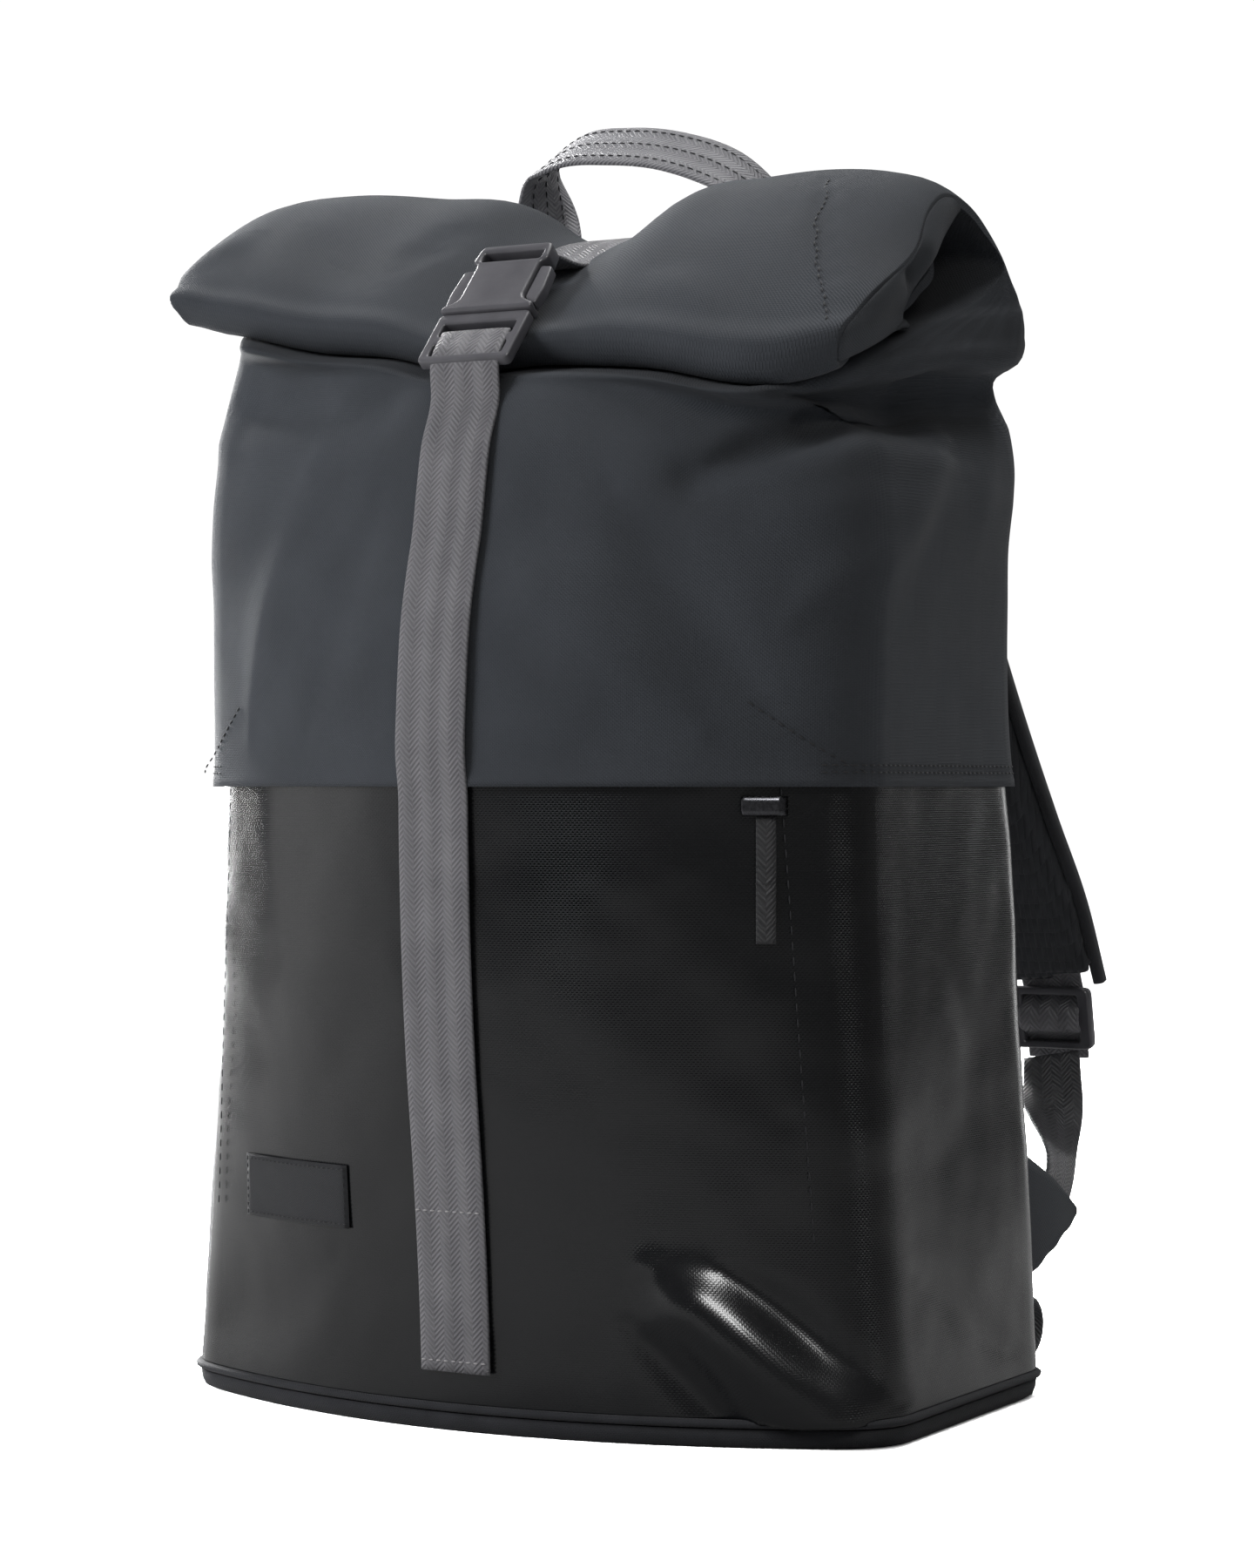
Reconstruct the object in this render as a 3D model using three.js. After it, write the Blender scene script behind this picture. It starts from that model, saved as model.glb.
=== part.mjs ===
// A rolltop backpack as it stands filled on the floor, in millimetres, +Z up.
// X runs to the right seen from the front, the front faces -Y, and the origin is the middle of the base.
// The bag is a tarpaulin tub with a woven sack over it. The top of the sack is pressed flat and rolled
// forward, and one strap with a side release buckle holds the roll down.
import * as THREE from 'three';

// Driving sizes of the sack
const CLOTH = 1.5; // thickness of the woven fabric and of the tarpaulin
const GAP = 0.3; // clearance between touching pieces
const BASE_HALF = 153; // half of the width at the floor, to the virtual corner
const CORNER_DEPTH = 74; // from the origin forward to the front corners
const BACK_DEPTH = 76; // from the origin back to the back wall
const BELLY = 60; // how far the filled front bulges beyond its corners
const BODY_HEIGHT = 394; // floor to the front edge under the roll
const HEM_HEIGHT = 240; // lower edge of the woven sack
const LAP = 22; // how far the tarpaulin runs up inside the woven sack
const CORNER_U = 0.12; // rounding of a corner as a share of the half width
const CORNER_T = 0.12; // rounding of a corner as a share of the depth

// Driving sizes of the base
const BASE_RISE = 7.2; // height of the turned up edge of the base panel
const BASE_CLOTH = 2;
const BASE_ROUNDING = 3.5; // how far the underside stands in from the base panel's edge
const WELT_RADIUS = 1.8; // piping between the base and the tub

// Driving sizes of the roll
const ROLL_HALF = 150; // half of the roll's width
const ROLL_DEPTH = 150; // from the back of the roll to its front edge
const ROLL_BACK = 44; // where the back of the roll stands behind the origin
const ROLL_FLOOR = 402; // underside of the roll at the strap
const ROLL_HEIGHT = 63; // underside of the roll to its top at the strap
const MOUTH_GAP = 1; // space between the two walls of the flattened mouth
const DROOP_START = 330; // below this height the roll no longer pulls the walls about

// Driving sizes of the webbing and the buckle
const STRAP_WIDTH = 30;
const WEBBING = 2; // thickness of webbing
const STRAP_END_HEIGHT = 23; // where the front strap is sewn down
const HEM_STEP = 8; // the strap rises from the tub onto the sack's hem over this height
const BUCKLE_LENGTH = 63;
const BUCKLE_WIDTH = 40;
const BUCKLE_THICK = 8;
const BUCKLE_TILT = 48; // degrees between the buckle and the floor
const BUCKLE_FORWARD = 0.9227; // the middle of the buckle, as a share of the roll's depth
const BUCKLE_RISE = 18.8; // and its height above the roll's underside
const BUCKLE_Y = ROLL_BACK - ROLL_DEPTH * BUCKLE_FORWARD;
const BUCKLE_Z = ROLL_FLOOR + BUCKLE_RISE;

// Driving sizes of the back panel, shoulder straps and small pieces
const PANEL_HALF = 116;
const PANEL_LOW = 30;
const PANEL_HIGH = 384;
const PANEL_THICK = 10;
const PAD_THICK = 10;
const PAD_WIDTH = 66;
const PAD_SPREAD = 111; // where a pad's lower end stands beside the middle
const PAD_BOW = 156; // how far a pad's lower end stands behind the origin
const PAD_TOP = 424;
const PAD_SEAT = { right: 60.7, left: 63.8 }; // how far behind the origin the pads' upper ends are sewn on
const HANDLE_HALF = 70;
const HANDLE_TOP = 504;
const HANDLE_BAND = 27;
const HANDLE_THICK = 3;
const HANDLE_BACK = 60;
const ADJUSTER_WIDTH = 36;
const ADJUSTER_LENGTH = 26;
const ADJUSTER_THICK = 5;
const TAIL_WIDTH = 25; // webbing of the shoulder straps
const TAIL_SLOPE = 31; // degrees that its lower end slopes down to the back
const ADJUSTER_LEAN = 12; // degrees that the adjuster leans back from upright
const ADJUSTER_DROP = 2.6; // from the pad's end to the adjuster
const SEAM_INSET = 10; // from the base's corner in to the side seam
const WING_X = BASE_HALF - SEAM_INSET; // the side seam that the triangular wings are sewn into
const WING_REACH = 52;
const WING_LOW = 44;
const WING_HIGH = 94;
const LOOP_LOW = 12;
const LOOP_HIGH = 38;
const LOOP_REACH = 16;
const LOOP_WIDTH = 10;
const LABEL_WIDTH = 62;
const LABEL_HEIGHT = 24;
const LABEL_LEFT = 42 - BASE_HALF;
const LABEL_LOW = 73;
const TRIM = 0.8; // thickness of the label
const ZIP_HEIGHT = 233; // the front pocket's zip ends here, just under the hem
const SLIDER_WIDTH = 13;
const SLIDER_HEIGHT = 7;
const SLIDER_THICK = 3;
const SLIDER_X = BASE_HALF - 36;
const PULL_WIDTH = 6;
const PULL_LENGTH = 46;
const PULL_THICK = 1.2;

// The sack's level sections. height is a share of BODY_HEIGHT, width and back_width of BASE_HALF,
// belly of BELLY, and back of BACK_DEPTH.
const LEVELS = [
  { height: 0.0, width: 1.03, back_width: 1.0, belly: 0.74, back: 1.01 },
  { height: 0.06, width: 1.015, back_width: 0.993, belly: 0.755, back: 1.01 },
  { height: 0.21, width: 0.985, back_width: 0.975, belly: 0.83, back: 1.01 },
  { height: 0.37, width: 0.968, back_width: 0.95, belly: 0.935, back: 1.02 },
  { height: 0.53, width: 0.95, back_width: 0.925, belly: 0.985, back: 1.02 },
  { height: 0.69, width: 0.952, back_width: 0.9, belly: 0.99, back: 1.0 },
  { height: 0.775, width: 0.958, back_width: 0.902, belly: 0.94, back: 0.98 },
  { height: 0.86, width: 0.964, back_width: 0.914, belly: 0.81, back: 0.94 },
  { height: 0.925, width: 0.935, back_width: 0.94, belly: 0.74, back: 0.9 },
  { height: 1.0, width: 0.86, back_width: 0.94, belly: 0.55, back: 0.85 },
];

// Where the front wall folds back under the roll. Depths are shares of ROLL_DEPTH in front of ROLL_BACK,
// up and back_up are shares of ROLL_HEIGHT above ROLL_FLOOR. narrow is the half width in front, and left and right
// are those at the back, as shares of ROLL_HALF. flat is 1 where the walls are pressed flat.
const GABLE = [
  { front: 0.965, up: -0.12, back: -0.11, back_up: 0.03, narrow: 0.77, left: 0.86, right: 0.97, flat: 0.3 },
  { front: 0.865, up: -0.07, back: -0.09, back_up: 0.19, narrow: 0.83, left: 0.87, right: 1.02, flat: 0.5 },
  { front: 0.64, up: 0.1, back: -0.07, back_up: 0.33, narrow: 0.875, left: 0.89, right: 1.035, flat: 0.7 },
  { front: 0.39, up: 0.28, back: -0.045, back_up: 0.46, narrow: 0.92, left: 0.93, right: 1.03, flat: 0.88 },
  { front: 0.13, up: 0.47, back: -0.02, back_up: 0.57, narrow: 0.95, left: 0.95, right: 1.01, flat: 1 },
];

// The middle of the flattened band along the roll: up the back, over the top, down the front and curled in.
// forward is a share of ROLL_DEPTH, rise of ROLL_HEIGHT, left and right of ROLL_HALF.
const ROLL = [
  { forward: 0.025, rise: 0.7, left: 0.97, right: 1.0 },
  { forward: 0.11, rise: 0.9, left: 1.02, right: 0.97 },
  { forward: 0.26, rise: 0.975, left: 1.08, right: 0.955 },
  { forward: 0.43, rise: 0.89, left: 1.09, right: 0.965 },
  { forward: 0.61, rise: 0.68, left: 1.085, right: 0.99 },
  { forward: 0.76, rise: 0.45, left: 1.07, right: 0.985 },
  { forward: 0.89, rise: 0.21, left: 1.0, right: 0.965 },
  { forward: 0.955, rise: 0.06, left: 0.97, right: 0.95 },
  { forward: 0.93, rise: 0.0, left: 0.96, right: 0.935 },
  { forward: 0.8, rise: 0.08, left: 0.97, right: 0.92 },
  { forward: 0.56, rise: 0.27, left: 0.97, right: 0.905 },
  { forward: 0.34, rise: 0.46, left: 0.97, right: 0.9 },
  { forward: 0.24, rise: 0.61, left: 0.97, right: 0.895 },
  { forward: 0.27, rise: 0.73, left: 0.97, right: 0.89 },
  { forward: 0.39, rise: 0.7, left: 0.97, right: 0.89 },
  { forward: 0.55, rise: 0.54, left: 0.97, right: 0.885 },
  { forward: 0.68, rise: 0.38, left: 0.965, right: 0.88 },
];

// How the roll hangs along its width. at is a share of ROLL_HALF, and low and high say how far the
// underside and the top lie above ROLL_FLOOR, as shares of ROLL_HEIGHT.
const DROOP = [
  { at: -1.12, low: 0.16, high: 1.2 },
  { at: -1.0, low: 0.37, high: 1.29 },
  { at: -0.83, low: 0.32, high: 1.31 },
  { at: -0.55, low: 0.17, high: 1.24 },
  { at: -0.29, low: 0.09, high: 1.14 },
  { at: -0.15, low: 0.0, high: 0.93 },
  { at: 0.15, low: 0.0, high: 0.93 },
  { at: 0.28, low: -0.02, high: 1.15 },
  { at: 0.45, low: -0.06, high: 1.19 },
  { at: 0.67, low: -0.17, high: 1.2 },
  { at: 0.8, low: -0.2, high: 1.16 },
  { at: 0.92, low: -0.16, high: 1.07 },
  { at: 1.02, low: -0.1, high: 0.88 },
];

// The main folds of the filled walls. Angles go round the bag from the middle of the front, to the right
// positive, heights and spreads are shares of BODY_HEIGHT, and depth is a share of BELLY, negative inward.
const FOLDS = [
  { from_angle: 42, from_height: 0.9, to_angle: 60, to_height: 0.965, spread: 0.026, depth: -0.08 },
  { from_angle: 60, from_height: 0.965, to_angle: 108, to_height: 1.0, spread: 0.024, depth: -0.07 },
  { from_angle: 55, from_height: 0.87, to_angle: 100, to_height: 0.91, spread: 0.04, depth: 0.05 },
  { from_angle: 41, from_height: 0.13, to_angle: 59, to_height: 0.04, spread: 0.028, depth: 0.07 },
  { from_angle: -52, from_height: 0.96, to_angle: -20, to_height: 0.97, spread: 0.03, depth: -0.06 },
];

// A shoulder strap's pad. across is a share of PAD_SPREAD, behind of PAD_BOW, height of PAD_TOP,
// width of PAD_WIDTH and thick of PAD_THICK.
const PAD = [
  { across: 0.43, behind: 0.404, height: 1.0, width: 0.9, thick: 0.6 },
  { across: 0.46, behind: 0.505, height: 0.95, width: 0.95, thick: 0.9 },
  { across: 0.53, behind: 0.62, height: 0.89, width: 1.0, thick: 1.0 },
  { across: 0.62, behind: 0.705, height: 0.81, width: 1.0, thick: 1.0 },
  { across: 0.71, behind: 0.742, height: 0.72, width: 0.98, thick: 1.0 },
  { across: 0.81, behind: 0.783, height: 0.625, width: 0.96, thick: 1.0 },
  { across: 0.9, behind: 0.842, height: 0.535, width: 0.95, thick: 1.0 },
  { across: 0.97, behind: 0.922, height: 0.455, width: 0.94, thick: 1.0 },
  { across: 1.01, behind: 1.0, height: 0.375, width: 0.92, thick: 0.7 },
];

// The webbing below a pad, from the strap adjuster to the wing. across is a share of WING_X, behind of
// PAD_BOW, height of PAD_TOP, and turn says how far it has turned from lying across to lying along the side.
const TAIL = [
  { across: 0.835, behind: 0.995, height: 0.3015, turn: 0.0 },
  { across: 0.855, behind: 0.96, height: 0.268, turn: 0.15 },
  { across: 0.905, behind: 0.868, height: 0.232, turn: 0.6 },
  { across: 0.965, behind: 0.772, height: 0.195, turn: 0.95 },
  { across: 0.977, behind: 0.69, height: 0.156, turn: 1.0 },
];

// The carrying handle. across is a share of HANDLE_HALF, height of HANDLE_TOP, forward says how far it leans
// to the front of HANDLE_BACK as a share of HANDLE_BAND, tilt is the slope of the band's width in degrees,
// and turn says how far the band has turned to lie flat on the back.
const HANDLE = [
  { across: -0.92, height: 0.862, forward: 0.055, tilt: 0, turn: 1 },
  { across: -0.94, height: 0.915, forward: 0.05, tilt: 0, turn: 0.9 },
  { across: -0.965, height: 0.955, forward: 0.14, tilt: 10, turn: 0.4 },
  { across: -0.955, height: 0.986, forward: 0.22, tilt: 25, turn: 0 },
  { across: -0.77, height: 1.0, forward: 0.3, tilt: 35, turn: 0 },
  { across: -0.4, height: 1.001, forward: 0.37, tilt: 40, turn: 0 },
  { across: -0.05, height: 0.993, forward: 0.37, tilt: 40, turn: 0 },
  { across: 0.3, height: 0.974, forward: 0.33, tilt: 40, turn: 0 },
  { across: 0.62, height: 0.938, forward: 0.2, tilt: 28, turn: 0.2 },
  { across: 0.84, height: 0.905, forward: 0.08, tilt: 10, turn: 0.8 },
  { across: 0.92, height: 0.862, forward: 0.055, tilt: 0, turn: 1 },
];

// Where the columns of points stand along the back edge of a section, as shares of its half width.
// They are close together under the strap.
const BACK_PLACES = [1, 0.76, 0.52, 0.3, 0.125, 0, -0.125, -0.3, -0.52, -0.76, -1];

const rad = THREE.MathUtils.degToRad;
const mix = THREE.MathUtils.lerp;

// Reads a column of a table at a value of its key column, straight between two rows
function reading(table, key, at, column) {
  const last = table.length - 1;
  if (at <= table[0][key]) return table[0][column];
  if (at >= table[last][key]) return table[last][column];
  const i = table.findIndex((row) => row[key] > at) - 1;
  const share = (at - table[i][key]) / (table[i + 1][key] - table[i][key]);
  return mix(table[i][column], table[i + 1][column], share);
}

// The triangles of a skin through rings of points. Rings run anticlockwise seen from the end of the stack.
function skin(rings, outward = true) {
  const faces = [];
  for (let i = 0; i + 1 < rings.length; i += 1) {
    const low = rings[i];
    const high = rings[i + 1];
    for (let j = 0; j < low.length; j += 1) {
      const k = (j + 1) % low.length;
      const pair = [[low[j], low[k], high[k]], [low[j], high[k], high[j]]];
      faces.push(...(outward ? pair : pair.map((face) => face.reverse())));
    }
  }
  return faces;
}

// A flat or slightly crowned end over one ring
function cap(ring, up) {
  const middle = new THREE.Vector3();
  ring.forEach((point) => middle.add(point));
  middle.divideScalar(ring.length);
  return ring.map((point, j) => {
    const next = ring[(j + 1) % ring.length];
    return up ? [point, next, middle] : [next, point, middle];
  });
}

// The edge of a wall, between its outer ring and its inner ring
function rim(outer, inner, up) {
  const faces = skin([outer, inner]);
  return up ? faces : faces.map((face) => face.reverse());
}

function fromFaces(faces) {
  const geometry = new THREE.BufferGeometry();
  const numbers = faces.flatMap((face) => face.flatMap((point) => point.toArray()));
  geometry.setAttribute('position', new THREE.Float32BufferAttribute(numbers, 3));
  geometry.computeVertexNormals();
  return geometry;
}

// A solid through rings, closed at both ends
function solid(rings) {
  return fromFaces([...skin(rings), ...cap(rings[0], false), ...cap(rings.at(-1), true)]);
}

// A wall open at both ends
function sleeve(outer, inner) {
  return fromFaces([
    ...skin(outer),
    ...skin(inner, false),
    ...rim(outer[0], inner[0], false),
    ...rim(outer.at(-1), inner.at(-1), true),
  ]);
}

// A wall closed below by a floor
function tray(outer, inner) {
  return fromFaces([
    ...skin(outer),
    ...skin(inner, false),
    ...cap(outer[0], false),
    ...cap(inner[0], true),
    ...rim(outer.at(-1), inner.at(-1), true),
  ]);
}

// The places round a section, in a square whose u runs from the left to the right and whose t runs from
// the front to the back, with rounded corners
function places() {
  const frontSteps = 16;
  const sideSteps = 4;
  const found = [];
  const edgeU = 1 - CORNER_U;
  for (let i = 0; i <= frontSteps; i += 1) found.push({ u: mix(-edgeU, edgeU, i / frontSteps), t: 0 });
  found.push({ u: 1 - CORNER_U * 4 / 9, t: CORNER_T / 9 }, { u: 1 - CORNER_U / 9, t: CORNER_T * 4 / 9 });
  for (let i = 0; i <= sideSteps; i += 1) found.push({ u: 1, t: mix(CORNER_T, 1 - CORNER_T, i / sideSteps) });
  found.push({ u: 1 - CORNER_U / 4, t: 1 - CORNER_T / 4 });
  BACK_PLACES.forEach((share) => found.push({ u: edgeU * share, t: 1 }));
  found.push({ u: CORNER_U / 4 - 1, t: 1 - CORNER_T / 4 });
  for (let i = 0; i <= sideSteps; i += 1) {
    found.push({ u: -1, t: mix(1 - CORNER_T, CORNER_T, i / sideSteps) });
  }
  found.push({ u: CORNER_U / 9 - 1, t: CORNER_T * 4 / 9 }, { u: CORNER_U * 4 / 9 - 1, t: CORNER_T / 9 });
  return found;
}
const PLACES = places();

// A level section of the filled sack
function level(z) {
  const at = z / BODY_HEIGHT;
  const halves = ['width', 'back_width'].map((column) => BASE_HALF * reading(LEVELS, 'height', at, column));
  return {
    front: new THREE.Vector2(-CORNER_DEPTH, z),
    back: new THREE.Vector2(BACK_DEPTH * reading(LEVELS, 'height', at, 'back'), z),
    belly: BELLY * reading(LEVELS, 'height', at, 'belly'),
    left: halves,
    right: halves,
    folds: 1,
  };
}

// The sections where the front wall folds back to meet the back wall
function gable() {
  return GABLE.map((row) => ({
    front: new THREE.Vector2(ROLL_BACK - ROLL_DEPTH * row.front, ROLL_FLOOR + ROLL_HEIGHT * row.up),
    back: new THREE.Vector2(ROLL_BACK - ROLL_DEPTH * row.back, ROLL_FLOOR + ROLL_HEIGHT * row.back_up),
    belly: 0,
    left: [ROLL_HALF * row.narrow, ROLL_HALF * row.left],
    right: [ROLL_HALF * row.narrow, ROLL_HALF * row.right],
    folds: 1 - row.flat,
  }));
}

// The sections of the flattened band, square to the line that it follows
function band() {
  const half = CLOTH + MOUTH_GAP / 2;
  const line = ROLL.map((row) => {
    return new THREE.Vector2(ROLL_BACK - ROLL_DEPTH * row.forward, ROLL_FLOOR + ROLL_HEIGHT * row.rise);
  });
  return ROLL.map((row, i) => {
    const next = line[Math.min(i + 1, line.length - 1)];
    const along = next.clone().sub(line[Math.max(i - 1, 0)]).normalize();
    const across = new THREE.Vector2(-along.y, along.x).multiplyScalar(half);
    return {
      front: line[i].clone().add(across),
      back: line[i].clone().sub(across),
      belly: 0,
      left: [ROLL_HALF * row.left, ROLL_HALF * row.left],
      right: [ROLL_HALF * row.right, ROLL_HALF * row.right],
      folds: 0,
    };
  });
}

// How the roll's weight moves a height at a place along the width
function drooped(x, z) {
  const at = x / ROLL_HALF;
  const low = ROLL_HEIGHT * reading(DROOP, 'at', at, 'low');
  const high = ROLL_HEIGHT * reading(DROOP, 'at', at, 'high');
  if (z < ROLL_FLOOR) return z + low * THREE.MathUtils.smoothstep(z, DROOP_START, ROLL_FLOOR);
  return ROLL_FLOOR + mix(low, high, (z - ROLL_FLOOR) / ROLL_HEIGHT);
}

// How far the folds push a wall out at a place
function folded(x, y, z) {
  const angle = THREE.MathUtils.radToDeg(Math.atan2(x, -y));
  const reach = Math.hypot(x, y);
  let push = 0;
  FOLDS.forEach((fold) => {
    const from = new THREE.Vector2(rad(fold.from_angle) * reach, fold.from_height * BODY_HEIGHT);
    const to = new THREE.Vector2(rad(fold.to_angle) * reach, fold.to_height * BODY_HEIGHT);
    const here = new THREE.Vector2(rad(angle) * reach, z);
    const run = to.clone().sub(from);
    const share = THREE.MathUtils.clamp(here.clone().sub(from).dot(run) / run.lengthSq(), 0, 1);
    const away = here.distanceTo(from.addScaledVector(run, share)) / (fold.spread * BODY_HEIGHT);
    push += fold.depth * BELLY * Math.exp(-away * away);
  });
  return push;
}

// A point of the sack's wall. inset moves it into the bag.
function sackPoint(row, place, inset) {
  const sides = place.u < 0 ? row.left : row.right;
  const x = place.u * (mix(sides[0], sides[1], place.t) - inset);
  const front = row.front.clone();
  front.x -= row.belly * (1 - place.u * place.u);
  const inward = row.back.clone().sub(row.front).normalize().multiplyScalar(inset);
  front.add(inward);
  const point = front.lerp(row.back.clone().sub(inward), place.t);
  const push = row.folds * folded(x, point.x, point.y);
  const out = new THREE.Vector2(x / BASE_HALF, point.x / (CORNER_DEPTH + BELLY)).setLength(push);
  return new THREE.Vector3(x + out.x, point.x + out.y, drooped(x, point.y));
}

function sackRing(row, inset) {
  return PLACES.map((place) => sackPoint(row, place, inset));
}

// The outer cloth's distance from the tarpaulin below it
const OVER = CLOTH + 2 * GAP;

// The heights of the level sections of a wall, evenly spread
function heights(low, high, steps) {
  return Array.from({ length: steps + 1 }, (_, i) => mix(low, high, i / steps));
}

function lowerBody() {
  const low = BASE_RISE + 2 * WELT_RADIUS + 2 * GAP;
  const rows = heights(low, HEM_HEIGHT + LAP, 11).map(level);
  return sleeve(rows.map((row) => sackRing(row, 0)), rows.map((row) => sackRing(row, CLOTH)));
}

function upperBody() {
  const loose = [...heights(HEM_HEIGHT, BODY_HEIGHT - 6, 8).map(level), ...gable()];
  const pressed = band();
  const outer = [
    ...loose.map((row) => sackRing(row, -OVER)),
    ...pressed.map((row) => sackRing(row, 0)),
  ];
  const inner = [
    ...loose.map((row) => sackRing(row, CLOTH - OVER)),
    ...pressed.map((row) => sackRing(row, CLOTH)),
  ];
  return sleeve(outer, inner);
}

// The base is a shallow tray: height above the floor and inset of each ring
function basePanel() {
  const outerRows = [
    { z: 0, inset: BASE_ROUNDING },
    { z: BASE_RISE / 6, inset: BASE_ROUNDING * 0.4 },
    { z: BASE_RISE / 2, inset: BASE_ROUNDING * 0.14 },
    { z: BASE_RISE, inset: 0 },
  ];
  const innerRows = [
    { z: BASE_CLOTH, inset: BASE_ROUNDING + 1 },
    { z: BASE_RISE / 2, inset: BASE_ROUNDING * 0.14 + BASE_CLOTH },
    { z: BASE_RISE, inset: BASE_CLOTH },
  ];
  const ring = (row) => sackRing({ ...level(row.z), folds: 0 }, row.inset);
  return tray(outerRows.map(ring), innerRows.map(ring));
}

// Piping in the seam between the base and the tub
function baseWelt() {
  const z = BASE_RISE + GAP + WELT_RADIUS;
  const sides = 6;
  const rings = Array.from({ length: sides + 1 }, (_, i) => {
    const turn = (2 * Math.PI * (i + 0.5)) / sides;
    const row = { ...level(z), folds: 0 };
    const height = z + WELT_RADIUS * Math.sin(turn);
    return sackRing(row, -WELT_RADIUS * Math.cos(turn)).map((point) => point.setZ(height));
  });
  return fromFaces(skin(rings));
}

// A thin piece that lies on the tub's front: its left and lower edges, its sizes, and its steps each way
function onFront(left, low, width, height, thick, columns, rowsUp) {
  const sheet = (inset) => heights(low, low + height, rowsUp).map((z) => {
    const row = { ...level(z), folds: 0 };
    return heights(left, left + width, columns).map((x) => {
      const place = { u: x / (row.right[0] - inset), t: 0 };
      return sackPoint(row, place, inset);
    });
  });
  const near = sheet(-GAP - thick);
  const far = sheet(-GAP);
  const rings = near.map((line, i) => [...line, ...[...far[i]].reverse()]);
  const faces = skin(rings);
  const ends = [[rings[0], false], [rings.at(-1), true]];
  ends.forEach(([ring, up]) => {
    for (let j = 0; j < columns; j += 1) {
      const quad = [ring[j], ring[j + 1], ring[ring.length - 2 - j], ring[ring.length - 1 - j]];
      const pair = [[quad[0], quad[1], quad[2]], [quad[0], quad[2], quad[3]]];
      faces.push(...(up ? pair : pair.map((face) => face.reverse())));
    }
  });
  return fromFaces(faces);
}

// The line of the sack's outside at the middle of the front, and over the roll, seen from the side
function frontLine(z, lift) {
  const outside = z >= HEM_HEIGHT - 2 ? OVER : 0;
  const point = sackPoint(level(z), { u: 0, t: 0 }, -outside - lift);
  return new THREE.Vector2(point.y, point.z);
}

function rollLine(from, to, lift) {
  return band().slice(from, to).map((row) => {
    const point = sackPoint(row, { u: 0, t: 1 }, -lift);
    return new THREE.Vector2(point.y, point.z);
  });
}

// A strap whose side view is a strip between two lines, lying across the middle
function strap(inside, outside, width) {
  const shape = new THREE.Shape([...inside, ...[...outside].reverse()]);
  const geometry = new THREE.ExtrudeGeometry(shape, { depth: width, bevelEnabled: false });
  geometry.translate(0, 0, -width / 2);
  return geometry;
}

// A mesh drawn in a side view: its own x runs to the back, its y up and its z to the right
function fromSide(mesh) {
  mesh.rotation.set(Math.PI / 2, 0, Math.PI / 2, 'ZYX');
  return mesh;
}

// An oval ring of points across a strip, for a middle, a direction across and the strip's normal
function oval(middle, across, normal, width, thick, sides = 8) {
  return Array.from({ length: sides }, (_, i) => {
    const turn = (2 * Math.PI * (i + 0.5)) / sides;
    const wide = Math.sign(Math.cos(turn)) * Math.abs(Math.cos(turn)) ** 0.4;
    const deep = Math.sign(Math.sin(turn)) * Math.abs(Math.sin(turn)) ** 0.6;
    const point = middle.clone().addScaledVector(across, (wide * width) / 2);
    return point.addScaledVector(normal, (deep * thick) / 2);
  });
}

// A strip through middles, with a wanted direction across, a width and a thickness for each
function strip(middles, acrosses, widths, thicks, sides) {
  const rings = middles.map((middle, i) => {
    const before = middles[Math.max(i - 1, 0)];
    const after = middles[Math.min(i + 1, middles.length - 1)];
    const along = after.clone().sub(before).normalize();
    const across = acrosses[i].clone().addScaledVector(along, -acrosses[i].dot(along)).normalize();
    const normal = along.clone().cross(across);
    return oval(middle, across, normal, widths[i], thicks[i], sides);
  });
  return solid(rings);
}

function shoulderPad(side) {
  const middles = PAD.map((row) => {
    return new THREE.Vector3(side * PAD_SPREAD * row.across, PAD_BOW * row.behind, PAD_TOP * row.height);
  });
  middles[0].y = side > 0 ? PAD_SEAT.right : PAD_SEAT.left;
  const acrosses = middles.map(() => new THREE.Vector3(1, 0, 0));
  const widths = PAD.map((row) => PAD_WIDTH * row.width);
  return strip(middles, acrosses, widths, PAD.map((row) => PAD_THICK * row.thick), 10);
}

function tailWebbing(side) {
  const middles = TAIL.map((row) => {
    return new THREE.Vector3(side * WING_X * row.across, PAD_BOW * row.behind, PAD_TOP * row.height);
  });
  const alongSide = new THREE.Vector3(0, Math.cos(rad(TAIL_SLOPE)), -Math.sin(rad(TAIL_SLOPE)));
  const acrosses = TAIL.map((row) => new THREE.Vector3(side, 0, 0).lerp(alongSide, row.turn));
  return strip(middles, acrosses, TAIL.map(() => TAIL_WIDTH), TAIL.map(() => WEBBING), 6);
}

function handle() {
  const middles = HANDLE.map((row) => new THREE.Vector3(
    HANDLE_HALF * row.across,
    HANDLE_BACK - HANDLE_BAND * row.forward,
    HANDLE_TOP * row.height,
  ));
  const acrosses = HANDLE.map((row) => {
    const free = new THREE.Vector3(0, Math.cos(rad(row.tilt)), Math.sin(rad(row.tilt)));
    return free.multiplyScalar(1 - row.turn).add(new THREE.Vector3(-Math.sign(row.across) * row.turn, 0, 0));
  });
  return strip(middles, acrosses, HANDLE.map(() => HANDLE_BAND), HANDLE.map(() => HANDLE_THICK), 6);
}

// How far back the sack's outside reaches at a width and a height
function backOfSack(x, z, outside) {
  const ring = sackRing(level(z), -outside);
  let reach = -Infinity;
  ring.forEach((point, j) => {
    const next = ring[(j + 1) % ring.length];
    const share = (x - point.x) / (next.x - point.x);
    if (share >= 0 && share <= 1) reach = Math.max(reach, mix(point.y, next.y, share));
  });
  return reach;
}

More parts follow.
